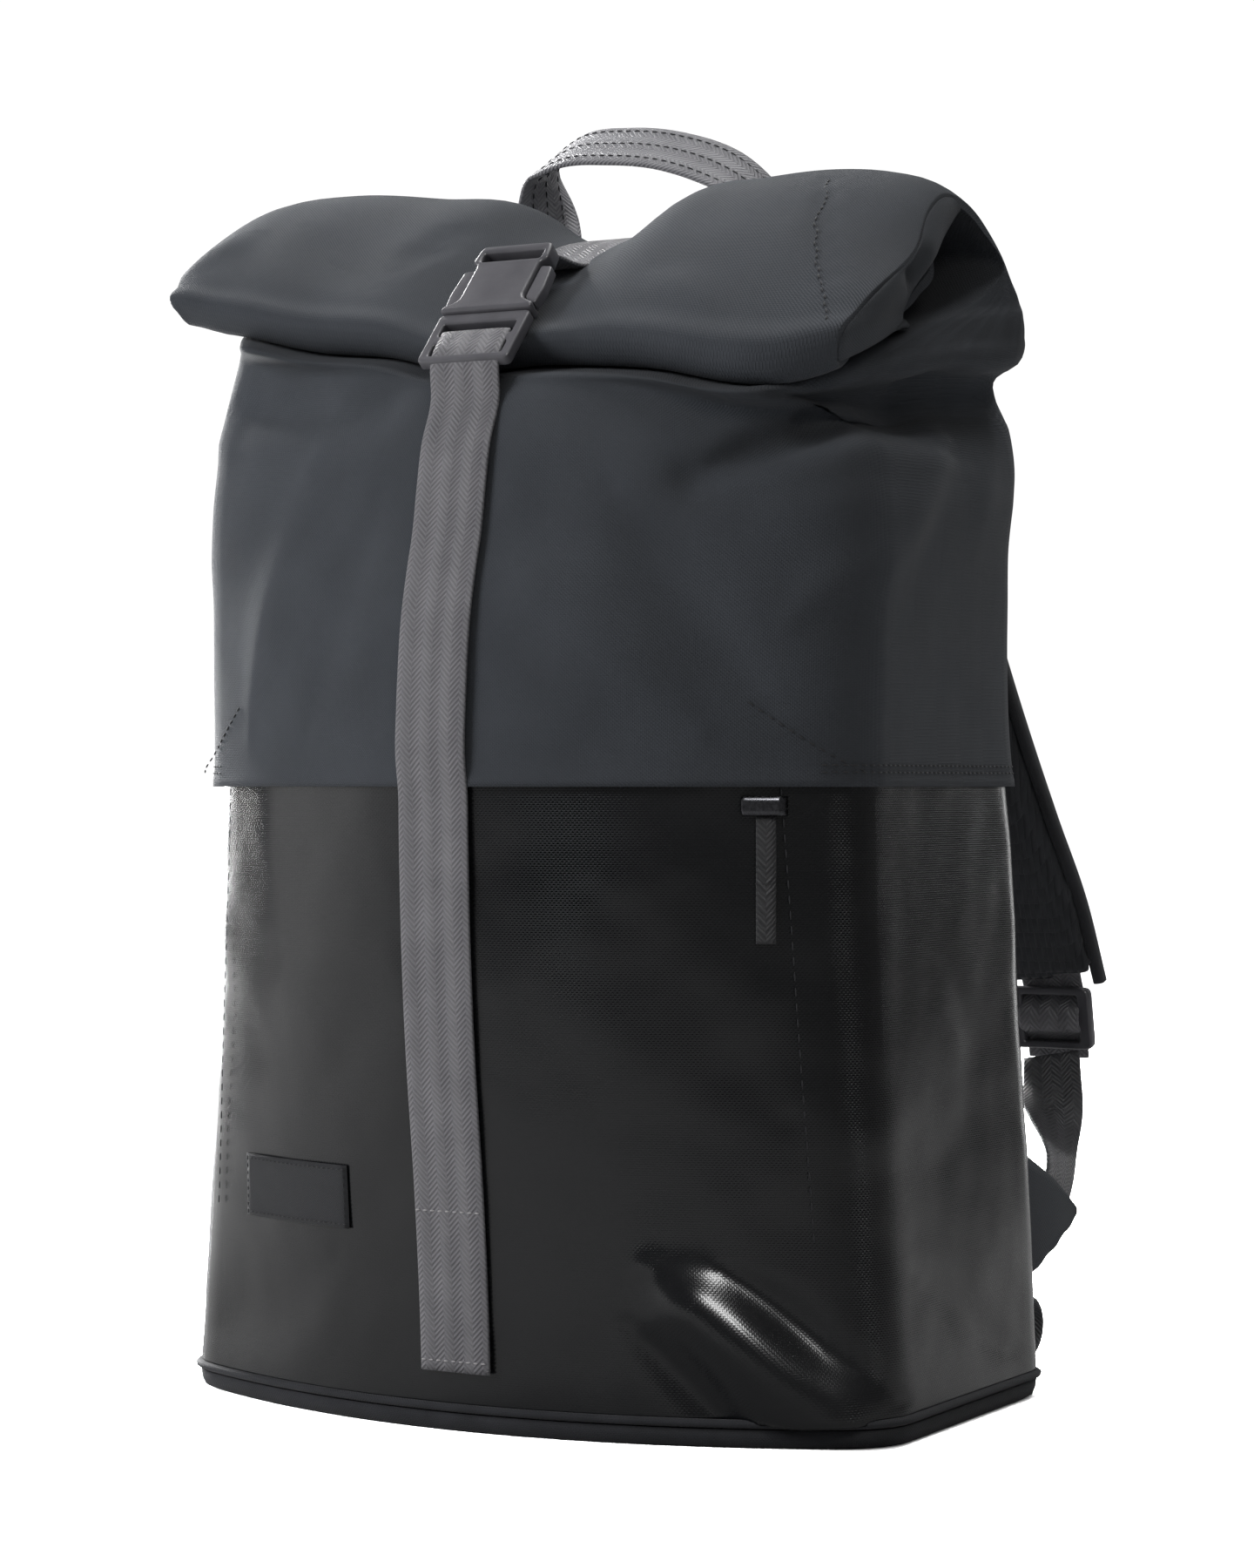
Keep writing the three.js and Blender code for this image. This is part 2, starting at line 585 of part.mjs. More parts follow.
// Where a piece can stand clear behind the sack, from a width outward and between two heights
function seatBehind(x, low, high) {
  const reaches = heights(low, high, 6).map((z) => backOfSack(x, z, 0));
  return Math.max(...reaches) + GAP;
}

// The padded panel on the back, crowned along its length and its width
function backPanel() {
  const rows = heights(PANEL_LOW, PANEL_HIGH, 16);
  const rings = rows.map((z, i) => {
    const end = i === 0 || i === rows.length - 1;
    const thick = end ? PANEL_THICK * 0.5 : PANEL_THICK;
    const half = end ? PANEL_HALF - 6 : PANEL_HALF;
    const lifted = drooped(-PANEL_HALF, z) - z;
    const seat = level(z - lifted).back.x + OVER + 2 * GAP;
    const middle = new THREE.Vector3(0, seat + thick / 2, z);
    return oval(middle, new THREE.Vector3(1, 0, 0), new THREE.Vector3(0, 1, 0), 2 * half, thick, 12);
  });
  return solid(rings);
}

// The buckle's pieces are drawn flat: x across, y up along the strap, and extruded by their thickness
function flat(points, holes, thick) {
  const shape = new THREE.Shape(points.map(([x, y]) => new THREE.Vector2(x, y)));
  shape.holes = holes.map((hole) => new THREE.Path(hole.map(([x, y]) => new THREE.Vector2(x, y)).reverse()));
  const geometry = new THREE.ExtrudeGeometry(shape, { depth: thick, bevelEnabled: false });
  geometry.translate(0, 0, -thick / 2);
  return geometry;
}

function mirrored(points) {
  return [...points, ...points.map(([x, y]) => [-x, y]).reverse()];
}

// The socket: a body that widens downward, with a bay at each side for the plug's arms
function buckleSocket() {
  const half = BUCKLE_WIDTH / 2;
  const top = BUCKLE_LENGTH / 2;
  const bay = half * 0.3;
  const right = [
    [half * 0.78, top],
    [half * 0.84, top * 0.72],
    [half - bay, top * 0.66],
    [half - bay, top * 0.02],
    [half, -top * 0.08],
    [half, -top * 0.16],
  ];
  const slot = mirrored([[half * 0.66, top * 0.86], [half * 0.66, top * 0.7]]);
  return flat(mirrored(right), [slot], BUCKLE_THICK);
}

// The plug: a ladder lock frame with two bars, and an arm up each side into the socket's bays
function buckleFrame() {
  const half = BUCKLE_WIDTH / 2;
  const top = BUCKLE_LENGTH / 2;
  const slots = [[-0.34, -0.56], [-0.7, -0.92]];
  const holes = slots.map(([high, low]) => mirrored([[half * 0.8, top * high], [half * 0.8, top * low]]));
  const frame = mirrored([[half, -top * 0.16 - GAP], [half, -top]]);
  return flat(frame, holes, BUCKLE_THICK * 0.6);
}

function buckleArm() {
  const half = BUCKLE_WIDTH / 2;
  const top = BUCKLE_LENGTH / 2;
  const bay = half * 0.3 - GAP;
  const points = [
    [half - bay, top * 0.04],
    [half, -top * 0.06],
    [half * 1.04, top * 0.2],
    [half * 0.98, top * 0.6],
    [half - bay, top * 0.62],
  ];
  return flat(points, [], BUCKLE_THICK * 0.6);
}

// A ladder lock for the shoulder strap, drawn flat
function adjuster() {
  const half = ADJUSTER_WIDTH / 2;
  const top = ADJUSTER_LENGTH / 2;
  const inner = TAIL_WIDTH / 2 + 1;
  const slots = [[0.78, 0.2], [-0.2, -0.78]];
  const holes = slots.map(([high, low]) => mirrored([[inner, top * high], [inner, top * low]]));
  return flat(mirrored([[half, top], [half, -top]]), holes, ADJUSTER_THICK);
}

// A triangle of cloth sewn into the side seam. Its blunt outer edge takes the webbing.
function wing() {
  const seat = seatBehind(WING_X - WEBBING, WING_LOW, WING_HIGH);
  const shape = new THREE.Shape([
    new THREE.Vector2(seat, WING_LOW),
    new THREE.Vector2(seat + WING_REACH, mix(WING_LOW, WING_HIGH, 0.42)),
    new THREE.Vector2(seat + WING_REACH * 0.5, mix(WING_LOW, WING_HIGH, 0.76)),
    new THREE.Vector2(seat, WING_HIGH),
  ]);
  return new THREE.ExtrudeGeometry(shape, { depth: WEBBING, bevelEnabled: false });
}

// A small folded loop of webbing at a bottom corner of the back
function cornerLoop() {
  const seat = seatBehind(WING_X - LOOP_WIDTH, LOOP_LOW, LOOP_HIGH);
  const middle = (LOOP_LOW + LOOP_HIGH) / 2;
  const half = (LOOP_HIGH - LOOP_LOW) / 2;
  const outer = [];
  const inner = [];
  for (let i = 0; i <= 6; i += 1) {
    const turn = -Math.PI / 2 + (Math.PI * i) / 6;
    const bend = new THREE.Vector2(Math.cos(turn), Math.sin(turn));
    outer.push(new THREE.Vector2(seat + LOOP_REACH * bend.x, middle + half * bend.y));
    inner.push(new THREE.Vector2(seat + (LOOP_REACH - WEBBING) * bend.x, middle + (half - WEBBING) * bend.y));
  }
  const shape = new THREE.Shape([...outer, ...inner.reverse()]);
  return new THREE.ExtrudeGeometry(shape, { depth: LOOP_WIDTH, bevelEnabled: false });
}

const finishes = {
  tarpaulin: { color: 0x26282c, roughness: 0.32, metalness: 0 },
  woven: { color: 0x484b50, roughness: 0.85, metalness: 0 },
  webbing: { color: 0x6c6b70, roughness: 0.75, metalness: 0 },
  padding: { color: 0x3a3b40, roughness: 0.9, metalness: 0 },
  buckle: { color: 0x6e6e78, roughness: 0.4, metalness: 0 },
  label: { color: 0x1c1d20, roughness: 0.6, metalness: 0 },
  metal: { color: 0x9a9ba0, roughness: 0.3, metalness: 1 },
};

const backpack = new THREE.Group();

function piece(name, geometry, finish) {
  const mesh = new THREE.Mesh(geometry, new THREE.MeshStandardMaterial(finishes[finish]));
  mesh.name = name;
  backpack.add(mesh);
  return mesh;
}

// The bag itself
piece('base_panel', basePanel(), 'tarpaulin');
piece('base_welt', baseWelt(), 'tarpaulin');
piece('lower_body', lowerBody(), 'tarpaulin');
piece('upper_body', upperBody(), 'woven');
piece('back_panel', backPanel(), 'padding');

// The closing strap: below the buckle down the front, and above it over the roll to the back
const buckleRise = (BUCKLE_LENGTH / 2) * Math.sin(rad(BUCKLE_TILT));
const buckleRun = (BUCKLE_LENGTH / 2) * Math.cos(rad(BUCKLE_TILT));
const strapHigh = BUCKLE_Z - buckleRise - BUCKLE_THICK / 2;
const strapHeights = [
  ...heights(STRAP_END_HEIGHT, HEM_HEIGHT - HEM_STEP, 8),
  ...heights(HEM_HEIGHT - 1, strapHigh, 6),
];
const frontInside = strapHeights.map((z) => frontLine(z, 2 * GAP));
const frontOutside = strapHeights.map((z) => frontLine(z, 2 * GAP + WEBBING));
fromSide(piece('front_strap', strap(frontOutside, frontInside, STRAP_WIDTH), 'webbing'));

const socketEnd = new THREE.Vector2(BUCKLE_Y + buckleRun, BUCKLE_Z + buckleRise);
const upBuckle = new THREE.Vector2(Math.cos(rad(BUCKLE_TILT)), Math.sin(rad(BUCKLE_TILT)));
const endThick = new THREE.Vector2(-upBuckle.y, upBuckle.x).multiplyScalar(WEBBING / 2);
socketEnd.addScaledVector(upBuckle, 2 * GAP);
const overInside = [...rollLine(0, 5, 2 * GAP), socketEnd.clone().sub(endThick)];
const overOutside = [...rollLine(0, 5, 2 * GAP + WEBBING), socketEnd.clone().add(endThick)];
fromSide(piece('top_strap', strap(overInside, overOutside, STRAP_WIDTH), 'webbing'));

// The buckle lies on the front slope of the roll
const buckle = new THREE.Group();
buckle.position.set(0, BUCKLE_Y, BUCKLE_Z);
buckle.rotation.x = rad(BUCKLE_TILT);
backpack.add(buckle);
const socket = piece('buckle_socket', buckleSocket(), 'buckle');
const frame = piece('buckle_frame', buckleFrame(), 'buckle');
const rightArm = piece('buckle_arm_right', buckleArm(), 'buckle');
const leftArm = piece('buckle_arm_left', buckleArm(), 'buckle');
leftArm.rotation.y = Math.PI;
buckle.add(socket, frame, rightArm, leftArm);

piece('grab_handle', handle(), 'webbing');

// Both shoulder straps, and the pieces that hold their lower ends
[['right', 1], ['left', -1]].forEach(([name, side]) => {
  piece(`shoulder_pad_${name}`, shoulderPad(side), 'padding');
  const lock = piece(`strap_adjuster_${name}`, adjuster(), 'buckle');
  const end = PAD.at(-1);
  const lockHeight = PAD_TOP * end.height - ADJUSTER_DROP - ADJUSTER_LENGTH / 2;
  lock.position.set(side * WING_X * TAIL[0].across, PAD_BOW * end.behind, lockHeight);
  lock.rotation.x = rad(90 + ADJUSTER_LEAN);
  piece(`tail_webbing_${name}`, tailWebbing(side), 'webbing');
  const cloth = fromSide(piece(`strap_wing_${name}`, wing(), 'woven'));
  cloth.position.x = side > 0 ? WING_X - WEBBING : -WING_X;
  const loop = fromSide(piece(`corner_loop_${name}`, cornerLoop(), 'webbing'));
  loop.position.x = side > 0 ? WING_X - LOOP_WIDTH : -WING_X;
});

// The front pocket's zip slider under the hem, the ribbon on it, and the blank label
const sliderLeft = SLIDER_X - SLIDER_WIDTH / 2;
const sliderLow = ZIP_HEIGHT - SLIDER_HEIGHT / 2;
const pullLeft = SLIDER_X - PULL_WIDTH / 2;
const pullLow = sliderLow - GAP - PULL_LENGTH;
const slider = onFront(sliderLeft, sliderLow, SLIDER_WIDTH, SLIDER_HEIGHT, SLIDER_THICK, 2, 1);
const pull = onFront(pullLeft, pullLow, PULL_WIDTH, PULL_LENGTH, PULL_THICK, 1, 4);
const label = onFront(LABEL_LEFT, LABEL_LOW, LABEL_WIDTH, LABEL_HEIGHT, TRIM, 5, 2);
piece('zip_slider', slider, 'metal');
piece('zip_pull', pull, 'webbing');
piece('label_patch', label, 'label');

export default backpack;
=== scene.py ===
# %% [markdown]
# # A rolltop backpack
# This notebook dresses a plain solid model of a rolltop backpack: cloth, webbing, padding,
# plastic and stitches. Every length in the tables is a share of a named size in millimetres,
# and meshes are turned into metres as they are made.

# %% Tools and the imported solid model
import math

import bmesh
import bpy
import numpy as np
from mathutils import Matrix, Vector, noise


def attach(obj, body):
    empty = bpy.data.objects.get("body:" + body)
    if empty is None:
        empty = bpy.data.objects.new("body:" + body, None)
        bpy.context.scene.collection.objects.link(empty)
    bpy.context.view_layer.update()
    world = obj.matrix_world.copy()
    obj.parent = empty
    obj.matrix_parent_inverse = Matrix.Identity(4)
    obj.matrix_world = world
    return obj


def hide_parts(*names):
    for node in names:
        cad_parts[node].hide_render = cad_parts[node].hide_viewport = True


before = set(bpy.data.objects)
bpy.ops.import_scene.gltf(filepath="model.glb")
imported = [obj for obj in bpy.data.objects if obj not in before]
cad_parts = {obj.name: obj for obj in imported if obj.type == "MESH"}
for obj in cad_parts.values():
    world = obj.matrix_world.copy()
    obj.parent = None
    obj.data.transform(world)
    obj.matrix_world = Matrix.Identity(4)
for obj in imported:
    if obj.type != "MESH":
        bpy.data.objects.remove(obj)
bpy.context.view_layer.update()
MM = 0.001

# %% [markdown]
# ## Camera, floor and light
# The photograph was taken from about 30 degrees to the right of the front, with the lens level
# at half the bag's height. One big soft light on each side draws the long bright lines on the
# glossy cloth, and one above brightens the roll. The floor and the air around are pale.

# %% Camera
LENS_HEIGHT, LENS_TURN = 0.241, 29.9
camera_data = bpy.data.cameras.new("camera")
camera_data.sensor_fit = "VERTICAL"
camera_data.sensor_height = 36
camera_data.lens = 87.5
camera_data.clip_end = 100
camera = bpy.data.objects.new("camera", camera_data)
camera.location = (0.7596, -1.3141, LENS_HEIGHT)
camera.rotation_euler = (math.radians(90), 0, math.radians(LENS_TURN))
bpy.context.collection.objects.link(camera)
bpy.context.scene.camera = camera


# %% Light
def area_light(name, place, target, size, power, glossy=True, diffuse=True):
    """A soft light. Some only brighten the cloth and some are only seen in the glossy cloth."""
    data = bpy.data.lights.new(name, "AREA")
    data.shape = "RECTANGLE"
    data.size, data.size_y = size
    data.energy = power
    light = bpy.data.objects.new(name, data)
    light.location = place
    toward = Vector(target) - Vector(place)
    light.rotation_euler = toward.to_track_quat("-Z", "Y").to_euler()
    light.visible_glossy, light.visible_diffuse = glossy, diffuse
    bpy.context.collection.objects.link(light)


def camera_sees(tree, seen, otherwise, output):
    """The camera sees one shader, and every other ray meets the other one."""
    ray = tree.nodes.new("ShaderNodeLightPath")
    either = tree.nodes.new("ShaderNodeMixShader")
    tree.links.new(ray.outputs["Is Camera Ray"], either.inputs[0])
    tree.links.new(otherwise.outputs[0], either.inputs[1])
    tree.links.new(seen.outputs[0], either.inputs[2])
    tree.links.new(either.outputs[0], output.inputs["Surface"])


bpy.context.scene.view_settings.view_transform = "Standard"
BAG_MIDDLE = (0, 0, 0.25)
area_light("key_front_left", (-1.3, -1.7, 1.3), BAG_MIDDLE, (1.0, 1.0), 39, glossy=False)
area_light("box_front_left", (-1.9, -0.9, 0.5), BAG_MIDDLE, (1.6, 1.8), 9)
area_light("edge_left", (-1.75, 1.0, 0.8), BAG_MIDDLE, (0.45, 1.7), 85)
area_light("edge_right", (0.30, 2.0, 0.5), BAG_MIDDLE, (0.12, 1.3), 2.4)
area_light("glint_high", (1.25, -1.1, 1.35), (0.1, -0.1, 0.05), (0.5, 0.5), 24, diffuse=False)
area_light("light_above", (0.1, 0.4, 2.0), (0, 0, 0.3), (1.2, 0.9), 20)

AIR_SEEN, AIR_AROUND = 1.05, 0.13
world = bpy.data.worlds.new("studio")
world.use_nodes = True
bpy.context.scene.world = world
sky = world.node_tree
sky.nodes.clear()
airs = []
for strength in (AIR_SEEN, AIR_AROUND):
    air = sky.nodes.new("ShaderNodeBackground")
    air.inputs["Color"].default_value = (1, 1, 1, 1)
    air.inputs["Strength"].default_value = strength
    airs.append(air)
camera_sees(sky, *airs, sky.nodes.new("ShaderNodeOutputWorld"))

# %% [markdown]
# ## Shader node groups
# Woven cloth, webbing and spacer mesh all show threads that cross, and all of them are a
# little uneven in colour. Both effects are node groups, built once and placed in each material
# with other values. They read the piece's own map, which is in metres along the cloth.

# %% Helpers for node groups and materials
def node_group(name, inputs, outputs):
    """A shader group with named inputs, and its two end nodes."""
    group = bpy.data.node_groups.new(name, "ShaderNodeTree")
    for label, kind, value in inputs:
        socket = group.interface.new_socket(label, in_out="INPUT", socket_type=kind)
        if value is not None:
            socket.default_value = value
    for label, kind in outputs:
        group.interface.new_socket(label, in_out="OUTPUT", socket_type=kind)
    return group, group.nodes.new("NodeGroupInput"), group.nodes.new("NodeGroupOutput")


def math_node(tree, operation, *values):
    """One sum. Each value is a number or a socket."""
    node = tree.nodes.new("ShaderNodeMath")
    node.operation = operation
    for i, value in enumerate(values):
        if isinstance(value, (int, float)):
            node.inputs[i].default_value = value
        else:
            tree.links.new(value, node.inputs[i])
    return node.outputs[0]


def weave_group():
    """Plain weave: threads both ways, over and under each other."""
    group, start, end = node_group(
        "thread_crossings",
        [("Vector", "NodeSocketVector", None), ("Threads per metre", "NodeSocketFloat", 900.0)],
        [("Height", "NodeSocketFloat")])
    split = group.nodes.new("ShaderNodeSeparateXYZ")
    group.links.new(start.outputs["Vector"], split.inputs[0])
    density = start.outputs["Threads per metre"]
    rows = [math_node(group, "MULTIPLY", split.outputs[axis], density) for axis in "XY"]
    cells = [math_node(group, "FLOOR", row) for row in rows]
    odd = math_node(group, "MODULO", math_node(group, "ABSOLUTE", math_node(group, "ADD", *cells)), 2)
    turns = [math_node(group, "MULTIPLY", row, math.pi) for row in rows]
    bows = [math_node(group, "ABSOLUTE", math_node(group, "SINE", turn)) for turn in turns]
    over = math_node(group, "MULTIPLY", bows[0], odd)
    under = math_node(group, "MULTIPLY", bows[1], math_node(group, "SUBTRACT", 1.0, odd))
    group.links.new(math_node(group, "ADD", over, under), end.inputs["Height"])
    return group


def mottle_group():
    """Soft uneven patches, from 0 to 1, for colour and roughness."""
    group, start, end = node_group(
        "soft_patches",
        [("Vector", "NodeSocketVector", None), ("Patches per metre", "NodeSocketFloat", 12.0),
         ("Detail", "NodeSocketFloat", 4.0)],
        [("Patches", "NodeSocketFloat")])
    cloud = group.nodes.new("ShaderNodeTexNoise")
    group.links.new(start.outputs["Vector"], cloud.inputs["Vector"])
    group.links.new(start.outputs["Patches per metre"], cloud.inputs["Scale"])
    group.links.new(start.outputs["Detail"], cloud.inputs["Detail"])
    spread = group.nodes.new("ShaderNodeMapRange")
    spread.inputs["From Min"].default_value = 0.3
    spread.inputs["From Max"].default_value = 0.7
    group.links.new(cloud.outputs["Fac"], spread.inputs["Value"])
    group.links.new(spread.outputs["Result"], end.inputs["Patches"])
    return group


WEAVE, MOTTLE = weave_group(), mottle_group()


class Finish:
    """One material, with the nodes that all the finishes share."""

    def __init__(self, name, metallic=0.0, sheen=0.0, coat=0.0, specular=0.5):
        self.material = bpy.data.materials.new(name)
        self.material.use_nodes = True
        self.tree = self.material.node_tree
        self.shader = self.tree.nodes["Principled BSDF"]
        self.shader.inputs["Metallic"].default_value = metallic
        self.shader.inputs["Sheen Weight"].default_value = sheen
        self.shader.inputs["Coat Weight"].default_value = coat
        self.shader.inputs["Specular IOR Level"].default_value = specular
        self.places = self.tree.nodes.new("ShaderNodeTexCoord")

    def group(self, group, place, **values):
        """One of the shared node groups, read at Object or UV places, with its inputs set."""
        node = self.tree.nodes.new("ShaderNodeGroup")
        node.node_tree = group
        self.tree.links.new(self.places.outputs[place], node.inputs["Vector"])
        for label, value in values.items():
            node.inputs[label.replace("_", " ")].default_value = value
        return node.outputs[0]

    def noise(self, scale, detail=3.0, place="Object"):
        """Plain noise, with so many waves to a metre."""
        node = self.tree.nodes.new("ShaderNodeTexNoise")
        self.tree.links.new(self.places.outputs[place], node.inputs["Vector"])
        node.inputs["Scale"].default_value = scale
        node.inputs["Detail"].default_value = detail
        return node.outputs["Fac"]

    def colour(self, factor, dark, light):
        """Mixes two colours by a socket."""
        mix = self.tree.nodes.new("ShaderNodeMix")
        mix.data_type = "RGBA"
        self.tree.links.new(factor, mix.inputs[0])
        mix.inputs[6].default_value = (*dark, 1)
        mix.inputs[7].default_value = (*light, 1)
        self.tree.links.new(mix.outputs[2], self.shader.inputs["Base Color"])
        self.material.diffuse_color = (*light, 1)

    def roughness(self, factor, low, high):
        """Spreads a socket's values over a span of roughness."""
        spread = self.tree.nodes.new("ShaderNodeMapRange")
        spread.inputs["To Min"].default_value = low
        spread.inputs["To Max"].default_value = high
        self.tree.links.new(factor, spread.inputs["Value"])
        self.tree.links.new(spread.outputs["Result"], self.shader.inputs["Roughness"])

    def bump(self, *layers):
        """Each layer is a height socket and its depth in millimetres."""
        before = None
        for height, depth in layers:
            node = self.tree.nodes.new("ShaderNodeBump")
            node.inputs["Strength"].default_value = 1.0
            node.inputs["Distance"].default_value = depth * MM
            self.tree.links.new(height, node.inputs["Height"])
            if before is not None:
                self.tree.links.new(before, node.inputs["Normal"])
            before = node.outputs["Normal"]
        self.tree.links.new(before, self.shader.inputs["Normal"])


# %% [markdown]
# ## Finishes
# The upper sack is a matt charcoal plain weave. The tub below is a black tarpaulin with a soft
# gloss, so it needs slow waves in its surface to break up the reflections. Webbing is lighter
# and shows slanting ribs that turn back at each column of threads. The buckle is moulded plastic.

# %% Woven cloth, tarpaulin and mesh
def patchy(name, patches, dark, light, rough, place="Object", **shader):
    """A finish whose colour and roughness both follow the same soft patches."""
    finish = Finish(name, **shader)
    factor = finish.group(MOTTLE, place, Patches_per_metre=patches)
    finish.colour(factor, dark, light)
    finish.roughness(factor, *rough)
    return finish


woven = patchy("woven_charcoal", 26.0, (0.046, 0.051, 0.060), (0.060, 0.066, 0.077), (0.72, 0.85),
               sheen=0.06, specular=0.2)
woven.bump((woven.noise(34, 4), 0.5), (woven.group(WEAVE, "UV", Threads_per_metre=1500.0), 0.12))

tarpaulin = patchy("glossy_tarpaulin", 9.0, (0.0035, 0.004, 0.005), (0.0055, 0.006, 0.0075),
                   (0.17, 0.25), specular=0.5)
tarpaulin.bump((tarpaulin.noise(14, 2), 2.2),
               (tarpaulin.group(WEAVE, "UV", Threads_per_metre=1200.0), 0.02))

mesh_cloth = patchy("spacer_mesh", 40.0, (0.035, 0.037, 0.042), (0.055, 0.058, 0.065), (0.8, 0.92),
                    sheen=0.2, specular=0.2)
mesh_cloth.bump((mesh_cloth.group(WEAVE, "Object", Threads_per_metre=420.0), 0.5),
                (mesh_cloth.noise(90, 2), 0.3))

binding = patchy("edge_binding", 60.0, (0.022, 0.023, 0.027), (0.035, 0.036, 0.042), (0.65, 0.8),
                 sheen=0.1, specular=0.25)
binding.bump((binding.group(WEAVE, "UV", Threads_per_metre=1600.0), 0.1))

label_cloth = patchy("blank_label", 120.0, (0.016, 0.017, 0.02), (0.026, 0.027, 0.031), (0.5, 0.65),
                     place="UV", sheen=0.1, specular=0.3)
label_cloth.bump((label_cloth.group(WEAVE, "UV", Threads_per_metre=2200.0), 0.1))

# %% Webbing
RIB_TURN, RIB_PITCH, COLUMN_PITCH = 0.0042, 0.0021, 0.0105


def webbing_finish(name, dark, light):
    """Slanting ribs that turn back at each column of threads, read from the strap's own map."""
    finish = Finish(name, sheen=0.1, specular=0.5)
    tree = finish.tree
    split = tree.nodes.new("ShaderNodeSeparateXYZ")
    tree.links.new(finish.places.outputs["UV"], split.inputs[0])
    across, along = split.outputs["X"], split.outputs["Y"]
    slant = math_node(tree, "ADD", along, math_node(tree, "PINGPONG", across, RIB_TURN))
    turns = math_node(tree, "MULTIPLY", slant, 2 * math.pi / RIB_PITCH)
    ribs = math_node(tree, "MULTIPLY_ADD", math_node(tree, "SINE", turns), 0.5, 0.5)
    column_turns = math_node(tree, "MULTIPLY", across, 2 * math.pi / COLUMN_PITCH)
    stripes = math_node(tree, "MULTIPLY_ADD", math_node(tree, "COSINE", column_turns), 0.16, 0.16)
    patches = finish.group(MOTTLE, "Object", Patches_per_metre=70.0)
    uneven = math_node(tree, "MULTIPLY_ADD", patches, 0.28, stripes)
    finish.colour(math_node(tree, "MULTIPLY_ADD", ribs, 0.4, uneven), dark, light)
    finish.roughness(patches, 0.32, 0.46)
    finish.bump((ribs, 0.3), (finish.group(WEAVE, "UV", Threads_per_metre=2400.0), 0.08))
    return finish.material


webbing = webbing_finish("grey_webbing", (0.11, 0.108, 0.12), (0.25, 0.245, 0.262))
# A lighter copy of the grey webbing, used for the handle: painted top light, standing for the light
# that falls on the handle from above.
webbing_painted_top_light = webbing_finish("webbing_painted_top_light", (0.17, 0.168, 0.184), (0.36, 0.356, 0.378))
dark_webbing = webbing_finish("dark_webbing", (0.035, 0.035, 0.04), (0.08, 0.08, 0.09))
black_webbing = webbing_finish("black_webbing", (0.012, 0.012, 0.014), (0.03, 0.03, 0.034))

# %% Plastic, metal and thread
def grained(name, scale, detail, dark, light, rough, **shader):
    """A finish whose colour and roughness both follow a fine grain, and that grain."""
    finish = Finish(name, **shader)
    grain = finish.noise(scale, detail)
    finish.colour(grain, dark, light)
    finish.roughness(grain, *rough)
    return finish, grain


plastic = Finish("satin_plastic", specular=0.5)
plastic_grain = plastic.noise(1400, 2)
plastic.colour(plastic.group(MOTTLE, "Object", Patches_per_metre=80.0),
               (0.085, 0.084, 0.094), (0.112, 0.11, 0.122))
plastic.roughness(plastic_grain, 0.3, 0.45)
plastic.bump((plastic_grain, 0.03))

metal, metal_grain = grained("brushed_zinc", 900, 3, (0.05, 0.05, 0.055), (0.1, 0.1, 0.108),
                             (0.2, 0.35), metallic=1.0)
metal.bump((metal_grain, 0.02))

thread, _ = grained("thread", 2500, 1, (0.012, 0.012, 0.014), (0.03, 0.03, 0.034), (0.55, 0.75),
                    sheen=0.2, specular=0.3)
light_thread, _ = grained("light_thread", 2500, 1, (0.32, 0.31, 0.32), (0.5, 0.49, 0.5), (0.5, 0.7),
                          sheen=0.2, specular=0.3)

# %% Floor
# The floor is pale for the light that it throws back, and where it is seen it is as bright as
# the air around.
FLOOR_SEEN = 9.0
floor_paint = patchy("floor_paint", 1.5, (0.42, 0.42, 0.42), (0.46, 0.46, 0.46), (0.85, 0.95),
                     specular=0.1)
seen_paint = floor_paint.tree.nodes.new("ShaderNodeBsdfDiffuse")
seen_paint.inputs["Color"].default_value = (FLOOR_SEEN, FLOOR_SEEN, FLOOR_SEEN, 1)
camera_sees(floor_paint.tree, seen_paint, floor_paint.shader, floor_paint.tree.nodes["Material Output"])
bpy.ops.mesh.primitive_circle_add(vertices=96, radius=40, fill_type="NGON")
floor = bpy.context.object
floor.name = "studio_floor"
floor.data.materials.append(floor_paint.material)

# %% [markdown]
# ## Building cloth from rings
# A sack is a stack of rings. Each ring lies in a square whose u runs across and whose t runs
# from front to back, so the same few numbers say where a filled section, a folded one and a
# flat one lie. Smooth curves through the short tables give as many rings as the cloth needs.

# %% Mesh helpers
def smooth_read(keys, values, at):
    """A smooth curve through table values, flat beyond the table's ends."""
    keys, values = np.asarray(keys, float), np.asarray(values, float)
    slope = np.gradient(values, keys)
    at = np.clip(at, keys[0], keys[-1])
    i = np.clip(np.searchsorted(keys, at, "right") - 1, 0, len(keys) - 2)
    step = keys[i + 1] - keys[i]
    s = (at - keys[i]) / step
    return ((2 * s**3 - 3 * s**2 + 1) * values[i] + (s**3 - 2 * s**2 + s) * step * slope[i]
            + (3 * s**2 - 2 * s**3) * values[i + 1] + (s**3 - s**2) * step * slope[i + 1])


def smooth_step(x, low, high):
    """From 0 at low to 1 at high, with no corner at either end."""
    s = np.clip((x - low) / (high - low), 0, 1)
    return s * s * (3 - 2 * s)


def linked(name, data):
    """An object in the scene for a mesh or a curve."""
    made = bpy.data.objects.new(name, data)
    bpy.context.collection.objects.link(made)
    return made


def plain_mesh(made):
    """The mesh that an object's modifiers or curve give."""
    return bpy.data.meshes.new_from_object(made.evaluated_get(bpy.context.evaluated_depsgraph_get()))


